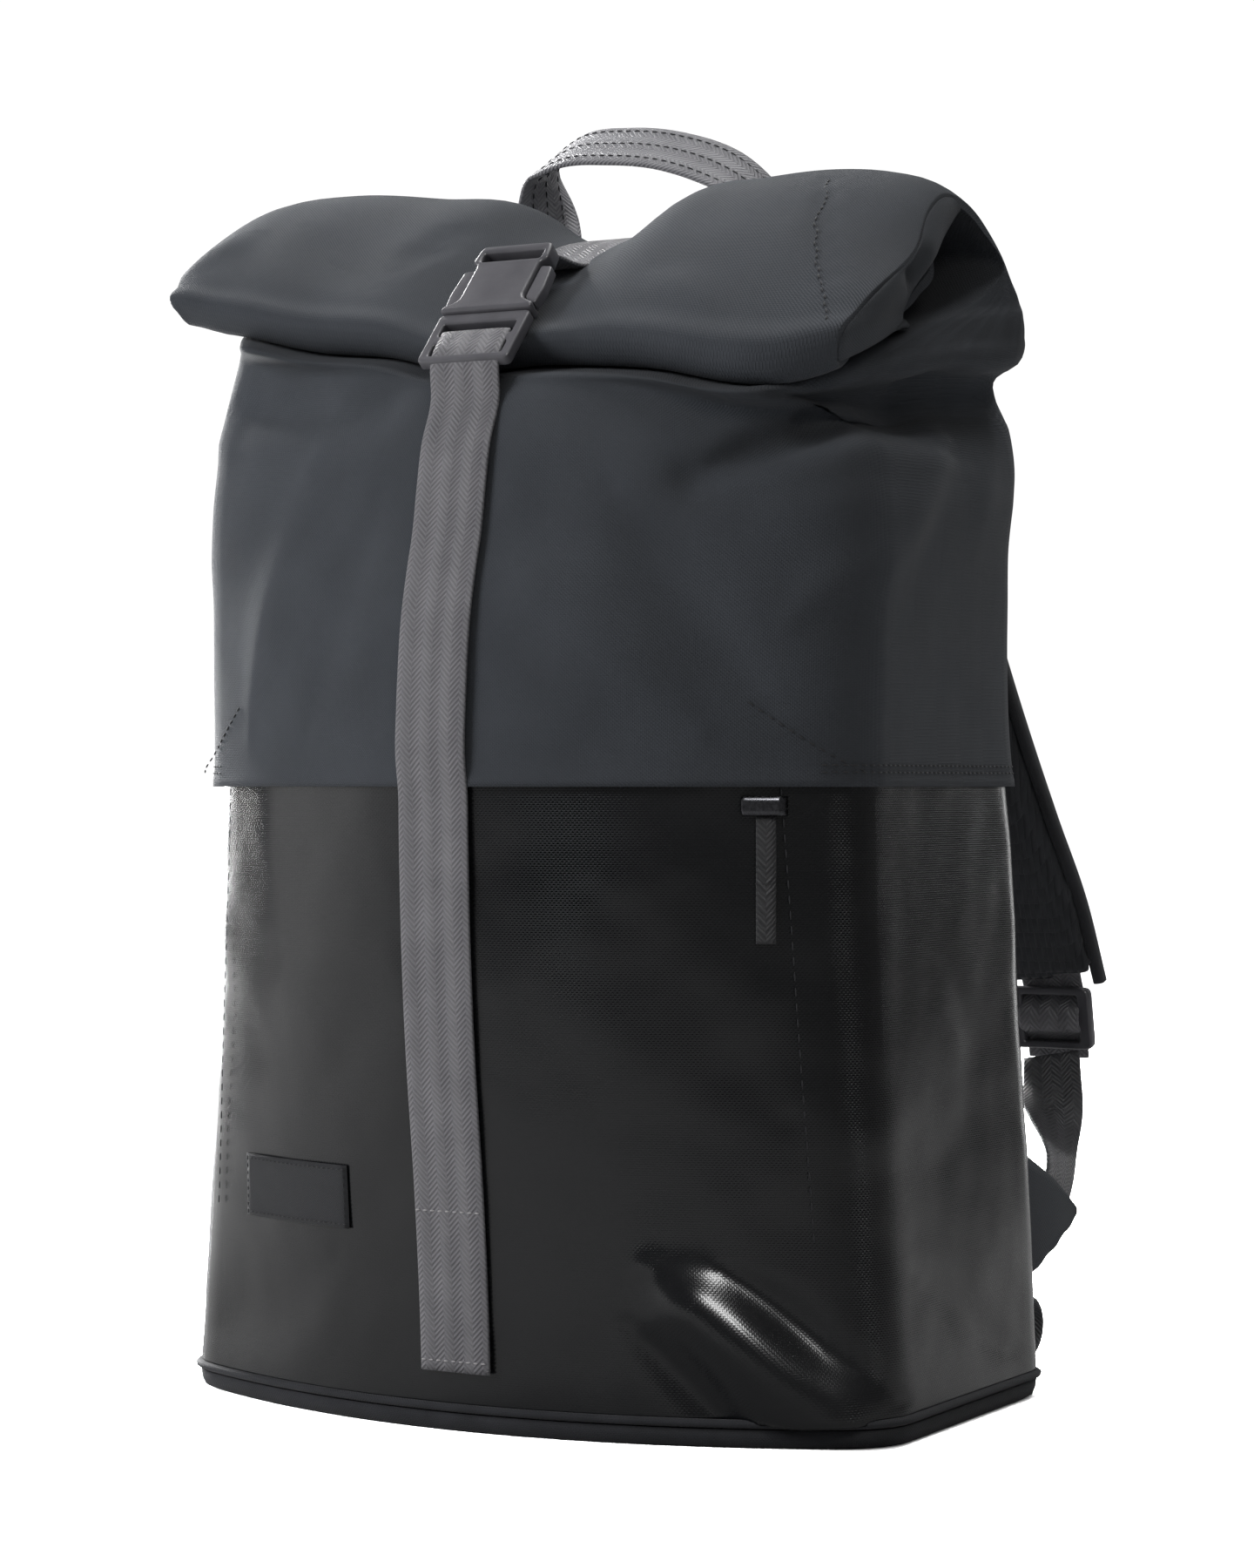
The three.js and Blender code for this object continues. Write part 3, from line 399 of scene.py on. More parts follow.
def mended(mesh, outward=False):
    """Joins points that lie on each other and, where asked, turns the faces outward."""
    bm = bmesh.new()
    bm.from_mesh(mesh)
    bmesh.ops.remove_doubles(bm, verts=bm.verts, dist=1e-6)
    if outward:
        bmesh.ops.recalc_face_normals(bm, faces=bm.faces)
    bm.to_mesh(mesh)
    bm.free()


def dressed(piece, stands_for=None):
    """Puts a piece on the bag's one body and hides the solid it stands for, where there is one."""
    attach(piece, "root")
    if stands_for:
        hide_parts(stands_for)


def make_object(name, points, faces, finish, flat_map=None):
    """A mesh object from points in millimetres, with its map in metres."""
    mesh = bpy.data.meshes.new(name)
    mesh.from_pydata((np.asarray(points, float) * MM).tolist(), [], faces)
    mesh.materials.append(finish)
    if flat_map is not None:
        layer = mesh.uv_layers.new(name="UVMap")
        layer.data.foreach_set("uv", (np.asarray(flat_map, float) * MM).ravel())
    mesh.shade_smooth()
    mesh.update()
    return linked(name, mesh)


def lengths(points):
    """Distance run along a line of points."""
    steps = np.linalg.norm(np.diff(points, axis=0), axis=1)
    return np.concatenate([[0], np.cumsum(steps)])


def read_all(keys, table, at):
    """smooth_read for every column of a table."""
    table = np.asarray(table, float)
    return np.stack([smooth_read(keys, table[:, i], at) for i in range(table.shape[1])], axis=1)


def columns(names, rows):
    """A table's columns, each under its name."""
    return dict(zip(names, np.array(rows, float).T))


def stacked(name, walls, finish, closed=True):
    """A mesh through closed rings. walls is a list of (rings, faces outward) that are joined end
    to end at their first and last rings, so that one wall gives a tube and two give a thick wall."""
    points, faces, flat_map = [], [], []
    first = 0
    for rings, outward in walls:
        rows, columns = rings.shape[:2]
        wrapped = np.concatenate([rings, rings[:, :1]], axis=1)
        across = lengths(wrapped[rows // 2])
        along = lengths(wrapped[:, columns // 4])
        for i in range(rows - 1):
            for j in range(columns):
                k = (j + 1) % columns
                face = [(i, j, j), (i, k, j + 1), (i + 1, k, j + 1), (i + 1, j, j)]
                if not outward:
                    face.reverse()
                faces.append([first + r * columns + c for r, c, _ in face])
                flat_map += [(across[m], along[r]) for r, _, m in face]
        points.append(rings.reshape(-1, 3))
        first += rows * columns
    count = walls[0][0].shape[1]
    if len(walls) == 2:
        inner_first = walls[0][0].shape[0] * count
        ends = [(0, inner_first, True), (inner_first - count, first - count, False)]
        for outer_row, inner_row, reverse in ends:
            for j in range(count):
                k = (j + 1) % count
                face = [outer_row + j, outer_row + k, inner_row + k, inner_row + j]
                if reverse:
                    face.reverse()
                faces.append(face)
                flat_map += [(0, 0)] * 4
    elif closed:
        rows = walls[0][0].shape[0]
        middles = [walls[0][0][0].mean(axis=0), walls[0][0][-1].mean(axis=0)]
        points.append(np.array(middles))
        for j in range(count):
            k = (j + 1) % count
            faces.append([k, j, first])
            faces.append([(rows - 1) * count + j, (rows - 1) * count + k, first + 1])
            flat_map += [(0, 0)] * 6
    return make_object(name, np.concatenate(points), faces, finish, flat_map)


def through(points, step):
    """Points evenly spread on a smooth curve through the given ones."""
    points = np.asarray(points, float)
    run = lengths(points)
    at = np.linspace(0, run[-1], max(3, int(run[-1] / step) + 1))
    return read_all(run, points, at)


def ribbon(name, middles, acrosses, widths, thicks, finish, sides=24, edge=0.25):
    """A flat band through middles, with rounded edges and a map that follows it. The widths, the
    thicknesses and the directions across it are one for each point or one for all."""
    middles = np.asarray(middles, float)
    acrosses = np.broadcast_to(np.asarray(acrosses, float), middles.shape)
    widths = np.broadcast_to(widths, len(middles))
    thicks = np.broadcast_to(thicks, len(middles))
    along = np.gradient(middles, axis=0)
    along /= np.linalg.norm(along, axis=1)[:, None]
    acrosses = acrosses - (acrosses * along).sum(1)[:, None] * along
    acrosses /= np.linalg.norm(acrosses, axis=1)[:, None]
    normals = np.cross(along, acrosses)
    turn = 2 * math.pi * (np.arange(sides) + 0.5) / sides
    wide = np.sign(np.cos(turn)) * np.abs(np.cos(turn)) ** edge
    deep = np.sign(np.sin(turn)) * np.abs(np.sin(turn)) ** 0.5
    to_side = acrosses[:, None] * (wide * 0.5)[None, :, None] * widths[:, None, None]
    to_face = normals[:, None] * (deep * 0.5)[None, :, None] * thicks[:, None, None]
    rings = middles[:, None] + to_side + to_face
    return stacked(name, [(rings, True)], finish)


# %% [markdown]
# ## The sack's form
# These tables are the ones that the solid model is made from. The bag stands filled on its
# base, leans in a little toward the roll, and its top is pressed flat and rolled forward.

# %% Named sizes and tables of the sack
CLOTH, GAP = 1.5, 0.3
BASE_HALF, CORNER_DEPTH, BACK_DEPTH, BELLY = 153, 74, 76, 60
BODY_HEIGHT, HEM_HEIGHT, LAP = 394, 240, 22
CORNER_U, CORNER_T = 0.12, 0.12
BASE_RISE, WELT_RADIUS = 7.2, 1.8
ROLL_HALF, ROLL_DEPTH, ROLL_BACK, ROLL_FLOOR, ROLL_HEIGHT = 150, 150, 44, 402, 63
MOUTH_GAP, DROOP_START = 1, 330
OVER = CLOTH + 2 * GAP
FRONT_PLACES = 90
SIDES = ((1, "right"), (-1, "left"))

LEVEL_COLUMNS = ("height", "width", "back_width", "belly", "back")
LEVELS = columns(LEVEL_COLUMNS, [
    (0.0, 1.03, 1.0, 0.74, 1.01),
    (0.06, 1.015, 0.993, 0.755, 1.01),
    (0.21, 0.985, 0.975, 0.83, 1.01),
    (0.37, 0.968, 0.95, 0.935, 1.02),
    (0.53, 0.95, 0.925, 0.985, 1.02),
    (0.69, 0.952, 0.9, 0.99, 1.0),
    (0.775, 0.958, 0.902, 0.94, 0.98),
    (0.86, 0.964, 0.914, 0.81, 0.94),
    (0.925, 0.935, 0.94, 0.74, 0.9),
    (1.0, 0.86, 0.94, 0.55, 0.85),
])

GABLE_COLUMNS = ("front", "front_rise", "back", "back_rise", "narrow", "left", "right", "flat")
GABLE = columns(GABLE_COLUMNS, [
    (0.965, -0.12, -0.11, 0.03, 0.77, 0.86, 0.97, 0.3),
    (0.865, -0.07, -0.09, 0.19, 0.83, 0.87, 1.02, 0.5),
    (0.64, 0.1, -0.07, 0.33, 0.875, 0.89, 1.035, 0.7),
    (0.39, 0.28, -0.045, 0.46, 0.92, 0.93, 1.03, 0.88),
    (0.13, 0.47, -0.02, 0.57, 0.95, 0.95, 1.01, 1),
])

ROLL_COLUMNS = ("forward", "rise", "left", "right")
ROLL = columns(ROLL_COLUMNS, [
    (0.025, 0.7, 0.97, 1.0), (0.11, 0.9, 1.02, 0.97), (0.26, 0.975, 1.08, 0.955),
    (0.43, 0.89, 1.09, 0.965), (0.61, 0.68, 1.085, 0.99), (0.76, 0.45, 1.07, 0.985),
    (0.89, 0.21, 1.0, 0.965), (0.955, 0.06, 0.97, 0.95), (0.93, 0.0, 0.96, 0.935),
    (0.8, 0.08, 0.97, 0.92), (0.56, 0.27, 0.97, 0.905), (0.34, 0.46, 0.97, 0.9),
    (0.24, 0.61, 0.97, 0.895), (0.27, 0.73, 0.97, 0.89), (0.39, 0.7, 0.97, 0.89),
    (0.55, 0.54, 0.97, 0.885), (0.68, 0.38, 0.965, 0.88),
])

DROOP_COLUMNS = ("at", "low", "high")
DROOP = columns(DROOP_COLUMNS, [
    (-1.12, 0.16, 1.2), (-1.0, 0.37, 1.29), (-0.83, 0.32, 1.31), (-0.55, 0.17, 1.24),
    (-0.29, 0.09, 1.14), (-0.15, 0.0, 0.93), (0.15, 0.0, 0.93), (0.28, -0.02, 1.15),
    (0.45, -0.06, 1.19), (0.67, -0.17, 1.2), (0.8, -0.2, 1.16), (0.92, -0.16, 1.07),
    (1.02, -0.1, 0.88),
])

# Each fold runs from an angle and a height to others, with a spread and a depth.
FOLDS = [
    (42, 0.9, 60, 0.965, 0.026, -0.08),
    (60, 0.965, 108, 1.0, 0.024, -0.07),
    (55, 0.87, 100, 0.91, 0.04, 0.05),
    (41, 0.13, 59, 0.04, 0.028, 0.07),
    (-52, 0.96, -20, 0.97, 0.03, -0.06),
]


# %% Rows of rings, as in the solid model
FRONT_Z, BACK_Y, HALF_WIDTH, FOLD_SHARE = 1, 2, 5, 9


def level_rows(z):
    """One row of numbers for each height: front y and z, back y and z, belly, the half widths at
    the front and the back for each side, and how far the folds show."""
    share = np.asarray(z, float) / BODY_HEIGHT
    read = {name: smooth_read(LEVELS["height"], LEVELS[name], share) for name in LEVEL_COLUMNS[1:]}
    halves = [BASE_HALF * read["width"], BASE_HALF * read["back_width"]]
    return np.stack([np.full_like(share, -CORNER_DEPTH), z, BACK_DEPTH * read["back"], z,
                     BELLY * read["belly"], *halves, *halves, np.ones_like(share)], axis=1)


def calm_rows(z):
    """Level rows without the folds."""
    rows = level_rows(np.atleast_1d(z))
    rows[:, FOLD_SHARE] = 0
    return rows


def gable_rows():
    """The rows that fold back over the front edge, up to the roll."""
    front, back = (ROLL_BACK - ROLL_DEPTH * GABLE[name] for name in ("front", "back"))
    front_z, back_z = (ROLL_FLOOR + ROLL_HEIGHT * GABLE[name] for name in ("front_rise", "back_rise"))
    narrow, left, right = (ROLL_HALF * GABLE[name] for name in ("narrow", "left", "right"))
    return np.column_stack([front, front_z, back, back_z, np.zeros(len(front)),
                            narrow, left, narrow, right, 1 - GABLE["flat"]])


def band_rows():
    """The rows of the roll, two layers pressed flat along its spiral."""
    line = np.stack([ROLL_BACK - ROLL_DEPTH * ROLL["forward"],
                     ROLL_FLOOR + ROLL_HEIGHT * ROLL["rise"]], axis=1)
    ahead = line[np.minimum(np.arange(len(line)) + 1, len(line) - 1)]
    behind = line[np.maximum(np.arange(len(line)) - 1, 0)]
    along = (ahead - behind) / np.linalg.norm(ahead - behind, axis=1)[:, None]
    across = np.stack([-along[:, 1], along[:, 0]], axis=1) * (CLOTH + MOUTH_GAP / 2)
    left, right = ROLL_HALF * ROLL["left"], ROLL_HALF * ROLL["right"]
    none = np.zeros(len(line))
    return np.column_stack([line + across, line - across, none, left, left, right, right, none])


def places(front, side, corner, back):
    """The places round a ring as (u, t), with rounded corners."""
    edge = 1 - CORNER_U
    found = [(u, 0) for u in np.linspace(-edge, edge, front)]
    turns = np.linspace(0, 1, corner + 2)[1:-1]
    sides = np.linspace(CORNER_T, 1 - CORNER_T, side)
    found += [(1 - CORNER_U * (1 - s) ** 2, CORNER_T * s * s) for s in turns]
    found += [(1, t) for t in sides]
    found += [(1 - CORNER_U * s * s, 1 - CORNER_T * (1 - s) ** 2) for s in turns]
    found += [(u, 1) for u in np.linspace(edge, -edge, back)]
    found += [(CORNER_U * (1 - s) ** 2 - 1, 1 - CORNER_T * s * s) for s in turns]
    found += [(-1, t) for t in sides[::-1]]
    found += [(CORNER_U * s * s - 1, CORNER_T * (1 - s) ** 2) for s in turns]
    return np.array(found)


PLACES = places(front=FRONT_PLACES, side=22, corner=5, back=56)


def drooped(x, z):
    """How the roll's weight moves a height at a place along the width."""
    low, high = (ROLL_HEIGHT * smooth_read(DROOP["at"], DROOP[name], x / ROLL_HALF)
                 for name in ("low", "high"))
    below = z + low * smooth_step(z, DROOP_START, ROLL_FLOOR)
    above = ROLL_FLOOR + low + (high - low) * (z - ROLL_FLOOR) / ROLL_HEIGHT
    return np.where(z < ROLL_FLOOR, below, above)


def folded(x, y, z):
    """How far the main folds push the wall out."""
    angle, reach = np.arctan2(x, -y), np.hypot(x, y)
    push = np.zeros_like(x)
    for from_angle, from_height, to_angle, to_height, spread, depth in FOLDS:
        from_x, to_x = (math.radians(a) * reach for a in (from_angle, to_angle))
        run_x, run_z = to_x - from_x, (to_height - from_height) * BODY_HEIGHT
        off_x, off_z = angle * reach - from_x, z - from_height * BODY_HEIGHT
        share = np.clip((off_x * run_x + off_z * run_z) / (run_x**2 + run_z**2), 0, 1)
        away = np.hypot(off_x - run_x * share, off_z - run_z * share) / (spread * BODY_HEIGHT)
        push += depth * BELLY * np.exp(-away * away)
    return push


def wall(rows, inset, around=PLACES):
    """The points of the wall for rows of numbers, moved in by inset."""
    u, t = around[:, 0][None], around[:, 1][None]
    front_y, front_z, back_y, back_z, belly, l0, l1, r0, r1, folds = rows.T[:, :, None]
    inset = np.broadcast_to(inset, len(rows))[:, None]
    first, last = np.where(u < 0, l0, r0), np.where(u < 0, l1, r1)
    x = u * (first + (last - first) * t - inset)
    deep, high = back_y - front_y, back_z - front_z
    size = np.hypot(deep, high)
    in_y, in_z = inset * deep / size, inset * high / size
    start_y = front_y - belly * (1 - u * u) + in_y
    y = start_y + (back_y - in_y - start_y) * t
    z = front_z + in_z + (back_z - front_z - 2 * in_z) * t
    push = folds * folded(x, y, z)
    out_x, out_y = x / BASE_HALF, y / (CORNER_DEPTH + BELLY)
    size = np.maximum(np.hypot(out_x, out_y), 1e-6)
    return np.stack([x + out_x / size * push, y + out_y / size * push, drooped(x, z)], axis=2)


def row_run(rows):
    """Distance run along the rows, half-way between front and back."""
    return lengths((rows[:, 0:2] + rows[:, 2:4]) / 2)


def resampled(rows, step):
    """More rows on a smooth curve through the given ones."""
    run = row_run(rows)
    at = np.linspace(0, run[-1], int(run[-1] / step) + 1)
    return read_all(run, rows, at), at


def normals_of(rings):
    """Outward directions of closed rings."""
    around = np.roll(rings, -1, axis=1) - np.roll(rings, 1, axis=1)
    up = np.gradient(rings, axis=0)
    out = np.cross(around, up)
    return out / np.maximum(np.linalg.norm(out, axis=2), 1e-9)[:, :, None]


SEED_STEPS = (17.3, 7.1, 3.7)


def ripples(points, scale, seed):
    """Slow random waves at points in millimetres, about -1 to 1."""
    shift = Vector([seed * step for step in SEED_STEPS])
    flat = points.reshape(-1, 3) * scale
    values = [noise.noise(Vector(p) + shift) for p in flat]
    return np.array(values).reshape(points.shape[:-1])


# %% [markdown]
# ## Creases
# Beside the large folds, real cloth shows finer creases where it is pulled. Each one is a
# smooth line through a few places on the outside of the bag. The cloth near the line moves in
# or out along its own outward direction, least at the line's ends.

# %% Fine creases
# Each crease has the places that it runs through, a spread and a depth.
TUB_CREASES = [
    (((78, -116, 66), (106, -100, 38), (140, -74, -8)), 15, 6.5),
    (((70, -118, 44), (98, -106, 18), (116, -96, -4)), 8, -3.0),
    (((100, -100, 66), (126, -85, 44), (140, -60, 16)), 7, -2.6),
    (((150, -40, 60), (146, 40, 20)), 12, -1.6),
    (((-60, -125, 60), (-140, -80, 20)), 16, -1.4),
    (((-148, -40, 80), (-146, 50, 150)), 14, -1.4),
    (((60, -125, 200), (120, -90, 120)), 20, -1.2),
]
BODY_CREASES = [
    (((104, -97, 376), (122, -84, 388), (141, -42, 397), (143, 20, 404), (144, 80, 420)), 8.5, 4.0),
    (((98, -102, 357), (116, -90, 366), (130, -72, 374), (138, -50, 379)), 8.5, -4.5),
    (((126, -78, 373), (140, -42, 382), (142, 20, 390), (142, 90, 406)), 9.5, -9.5),
    (((94, -104, 346), (122, -86, 352), (141, 10, 360)), 8, 3.5),
    (((98, -110, 262), (30, -130, 322)), 14, 3.4),
    (((116, -94, 268), (64, -120, 350)), 14, -3.4),
    (((142, 0, 372), (122, -90, 300)), 13, 3.0),
    (((-104, -104, 262), (-70, -120, 370)), 16, 2.6),
    (((-64, -122, 262), (-34, -130, 350)), 14, -2.4),
    (((-128, -80, 392), (-50, -108, 380)), 8, -3.0),
    (((-140, -60, 376), (-60, -112, 360)), 10, 1.4),
    (((-144, -20, 372), (-142, 60, 360)), 12, -2.0),
    (((143, -20, 330), (141, 60, 350)), 14, 1.6),
]
SEAM_PLACES = ((97, -5, 474), (113, -42, 462), (126, -72, 439), (136, -88, 412))
ROLL_CREASES = [
    (((-114, -60, 482), (-62, -96, 446)), 12, -1.5),
    (SEAM_PLACES, 3.2, -1.6),
    (((-40, -40, 474), (-56, -80, 452)), 8, -1.6),
    (((-140, -60, 474), (-150, -85, 446)), 7, 1.8),
    (((60, -95, 452), (96, -98, 420)), 9, 1.4),
    (((20, -98, 436), (44, -104, 412)), 8, -1.4),
]
SNAP_POINTS, SNAP_SMOOTHING = 40, 8
LEAST_TAPER, TAPER_POWER = 0.15, 0.6


def laid_on(flat, line_places):
    """A smooth line through places, laid on the nearest points of a surface."""
    run = lengths(np.array(line_places, float))
    line = read_all(run, line_places, np.linspace(0, run[-1], SNAP_POINTS))
    snapped = np.array([flat[np.argmin(((flat - p) ** 2).sum(1))] for p in line])
    for _ in range(SNAP_SMOOTHING):
        snapped[1:-1] = (snapped[:-2] + 2 * snapped[1:-1] + snapped[2:]) / 4
    return snapped


def creased(points, directions, creases, rows=None):
    """Points moved along their directions by the creases near them, within the given rows. A
    crease is narrow and shallow at its ends."""
    part = points[:rows] if rows else points
    flat = part.reshape(-1, 3)
    push = np.zeros(points.shape[:-1])
    for line_places, spread, depth in creases:
        strongest = np.zeros(len(flat))
        for k, p in enumerate(laid_on(flat, line_places)):
            taper = max(LEAST_TAPER, math.sin(math.pi * k / (SNAP_POINTS - 1))) ** TAPER_POWER
            near = ((flat - p) ** 2).sum(1) / (spread * taper) ** 2
            strongest = np.maximum(strongest, taper * np.exp(-near))
        push[:len(part)] += depth * strongest.reshape(part.shape[:-1])
    return points + directions * push[..., None]


# %% [markdown]
# ## The tarpaulin tub and the base
# The tub is one thick wall from the piping at the floor to a lap inside the sack. Its inside is
# the same wall moved in by the cloth's thickness, so the rim at the top is a real edge.

# %% Lower body
WELT_HEIGHT, VISIBLE_WELT = BASE_RISE + GAP + WELT_RADIUS, 1.6
TUB_ROWS, CALM_BELOW, WAVY_ABOVE = 108, 12, 40
tub_rows = level_rows(np.linspace(WELT_HEIGHT, HEM_HEIGHT + LAP, TUB_ROWS))
tub_outer = wall(tub_rows, 0)
tub_out = normals_of(tub_outer)
tub_moved = creased(tub_outer, tub_out, TUB_CREASES)
edge_calm = smooth_step(tub_outer[:, :, 2], CALM_BELOW, WAVY_ABOVE)
tub_wave = 0.9 * ripples(tub_outer, 0.016, 3) + 0.35 * ripples(tub_outer, 0.045, 5)
tub_moved = tub_moved + tub_out * (tub_wave * edge_calm)[..., None]
tub_inner = wall(tub_rows, CLOTH) + (tub_moved - tub_outer)
lower_body = stacked("tub", [(tub_moved, True), (tub_inner, False)], tarpaulin.material)
dressed(lower_body, stands_for="lower_body")
print("tub", len(lower_body.data.polygons), "faces")

# %% Base and piping
# Each pair is a height and how far the base's skin lies inside the bag's outline there.
BASE_PROFILE = [(0, 60), (0, 9), (0, 3.5), (1.2, 1.4), (3.6, 0.5), (7.2, 0.0), (7.2, 2.0),
                (3.6, 2.5), (2, 4.5), (2, 60)]
base_rings = [wall(calm_rows(float(height)), inset)[0] for height, inset in BASE_PROFILE]
base = stacked("base_cloth", [(np.array(base_rings), True)], binding.material)
dressed(base, stands_for="base_panel")

welt_rings = []
for turn in np.linspace(0, 2 * math.pi, 13):
    ring = wall(calm_rows(WELT_HEIGHT), -VISIBLE_WELT * math.cos(turn))[0]
    ring[:, 2] = WELT_HEIGHT + VISIBLE_WELT * math.sin(turn)
    welt_rings.append(ring)
welt = stacked("base_piping", [(np.array(welt_rings), True)], binding.material, closed=False)
mended(welt.data)
dressed(welt, stands_for="base_welt")

# %% [markdown]
# ## The woven sack and its roll
# The sack's rows run up the filled body, fold back over the front edge, and follow the roll.
# All of it is one cloth, so the fold-back and the spiral at the ends are real layers.

# %% Upper body
ROW_STEP, SACK_LEVELS, LAST_LEVEL = 2.6, 9, BODY_HEIGHT - 6
PRESS_RUN, HEM_TUCK, HEM_SPREAD = 14, 0.5, 5.0
END_START, END_BACK, END_RISE, END_LEVEL, END_SOFT = 104, 17, 5, 432, 16
END_RUN, END_FORWARD = 30, (-10, 80)
loose = np.concatenate([level_rows(np.linspace(HEM_HEIGHT, LAST_LEVEL, SACK_LEVELS)), gable_rows()])
given = np.concatenate([loose, band_rows()])
given_run = row_run(given)
band_start = given_run[len(loose)]
rows, run = resampled(given, ROW_STEP)
pressed = smooth_step(run, band_start - PRESS_RUN, band_start)
lift = -OVER * (1 - pressed)
hem = np.exp(-((rows[:, FRONT_Z] - HEM_HEIGHT) / HEM_SPREAD) ** 4) * HEM_TUCK
sack_outer = wall(rows, lift - hem)
sack_out = normals_of(sack_outer)
body_rows = int(band_start / (run[1] - run[0]))
sack_moved = creased(sack_outer, sack_out, BODY_CREASES, body_rows)
sack_moved = creased(sack_moved, sack_out, ROLL_CREASES)

# The right end of the roll narrows softly toward its folded side panel.
toward_end = np.clip((sack_outer[..., 0] - END_START) / (ROLL_HALF - END_START), 0, 1) ** 2
forward_part = smooth_step(-sack_outer[..., 1], *END_FORWARD) * (run >= band_start - END_RUN)[:, None]
rises = np.tanh((END_LEVEL - sack_outer[..., 2]) / END_SOFT)
sack_moved[..., 1] += END_BACK * toward_end * forward_part
sack_moved[..., 2] += END_RISE * toward_end * forward_part * rises
sack_wave = 0.8 * ripples(sack_outer, 0.013, 11) + 0.35 * ripples(sack_outer, 0.04, 13)
above_hem = smooth_step(sack_outer[:, :, 2], HEM_HEIGHT, HEM_HEIGHT + 25)
calm = np.where(run < band_start, 1.0, 0.0)[:, None] * above_hem
sack_moved = sack_moved + sack_out * (sack_wave * calm)[..., None]
sack_inner = wall(rows, lift + CLOTH) + (sack_moved - sack_outer)
upper_body = stacked("woven_sack", [(sack_moved, True), (sack_inner, False)], woven.material)
dressed(upper_body, stands_for="upper_body")
print("sack", len(upper_body.data.polygons), "faces")

# %% [markdown]
# ## The folds in the roll's ends
# The bag's side panels are tucked in before the top is rolled, so each end of the roll shows a
# folded gusset: two soft lobes with a valley between them, in front of a dark hollow. The fold
# is a sheet between the roll's own edge and the hollow's edge, blown outward and creased.

# %% Gussets in the roll's ends
GUSSET_COLUMNS, GUSSET_BULGE, RIM_TUCK = 30, 6.0, 7
GUSSET_KNOTS = (2, 10)
HOLLOW_Y, HOLLOW_Z, HOLLOW_INSET = (14, -19, -22), (459, 430, 418), (1, 6, 3)
VALLEY, VALLEY_SPREAD, VALLEY_DEPTH = ((-74, 453), (-38, 438)), 8.5, 9
FOLD_CENTRE, FOLD_SIZE, FOLD_PLACES = (-22, 431), (30, 13), 40
FOLD_INSET = 24


def gusset_grid(side, edge):
    """Points from the roll's end edge to the rim of the hollow, with a valley across them."""
    a = np.linspace(0, 1, len(edge))
    b = np.linspace(0, 1, GUSSET_COLUMNS)
    reach = np.abs(edge[:, 0]).mean()
    inset, rim_y, rim_level = (smooth_read([0, 0.5, 1], values, a) for values in
                               (HOLLOW_INSET, HOLLOW_Y, HOLLOW_Z))
    rim_x = side * (reach - inset)
    rim = np.stack([rim_x, rim_y, drooped(rim_x, rim_level)], axis=1)
    grid = edge[:, None] + (rim - edge)[:, None] * b[None, :, None]
    middle = np.sin(math.pi * b)[None] ** 0.8
    along_edge = np.sin(math.pi * np.clip(a, 0.02, 0.98))[:, None] ** 0.5
    grid[..., 0] += side * GUSSET_BULGE * middle * along_edge
    start, end = (np.array((y, float(drooped(np.array(side * reach), np.array(z))))) for y, z in VALLEY)
    along = end - start
    off = grid[..., 1:] - start
    share = np.clip(off @ along / (along @ along), 0, 1)
    away = np.linalg.norm(off - share[..., None] * along, axis=-1) / VALLEY_SPREAD
    grid[..., 0] -= side * VALLEY_DEPTH * np.exp(-away * away) * middle
    grid[..., 0] += 0.4 * ripples(grid, 0.05, 21)
    grid[..., 0] -= side * RIM_TUCK * smooth_step(b, 0.8, 1.0)[None]
    return grid


def roll_end(name, side, column, first_row, last_row):
    """The gusset in one end of the roll, a thin sheet."""
    edge = sack_moved[first_row:last_row, column]
    grid = gusset_grid(side, edge)
    edge_run = lengths(edge)
    faces, flat_map = [], []
    for i in range(len(edge) - 1):
        for j in range(GUSSET_COLUMNS - 1):
            face = [(i, j), (i + 1, j), (i + 1, j + 1), (i, j + 1)]
            if side > 0:
                face.reverse()
            faces.append([m * GUSSET_COLUMNS + n for m, n in face])
            flat_map += [(edge_run[m], n * 2.2) for m, n in face]
    made = make_object(name, grid.reshape(-1, 3), faces, woven.material, flat_map)
    wall_thickness = made.modifiers.new("wall", "SOLIDIFY")
    wall_thickness.thickness = CLOTH * 0.8 * MM
    wall_thickness.offset = 0
    dressed(made)
    print(name, len(faces), "faces")


def inner_fold(name, side):
    """The cloth deep in the roll's end, which closes the hollow."""
    turn = np.linspace(0, 2 * math.pi, FOLD_PLACES, endpoint=False)
    x = side * (ROLL_HALF * 0.9 - FOLD_INSET)
    rings = []
    for reach, depth in ((1.0, 0), (0.7, 2.5), (0.4, 1), (0.05, 3)):
        y = FOLD_CENTRE[0] + FOLD_SIZE[0] * reach * np.cos(turn)
        z = drooped(np.array(x), FOLD_CENTRE[1] + FOLD_SIZE[1] * reach * np.sin(turn))
        rings.append(np.stack([np.full(FOLD_PLACES, x - side * depth), y, z], axis=1))
    rings = np.array(rings)
    behind = rings - np.array([side * CLOTH, 0, 0])
    made = stacked(name, [(rings, side < 0), (behind, side > 0)], woven.material)
    dressed(made)


for side, name in SIDES:
    inner_fold("roll_inner_fold_" + name, side)
knot_rows = [int(round(given_run[len(loose) + knot] / (run[1] - run[0]))) for knot in GUSSET_KNOTS]
for side, name in SIDES:
    column = next(i for i, (u, t) in enumerate(PLACES) if u == side and abs(t - 0.5) < 0.03)
    roll_end("roll_gusset_" + name, side, column, *knot_rows)

# %% [markdown]
# ## Webbing
# Straps are flat bands with rounded edges. The closing strap runs up the middle of the front
# into the buckle's lower frame, and from the socket over the roll to the back.

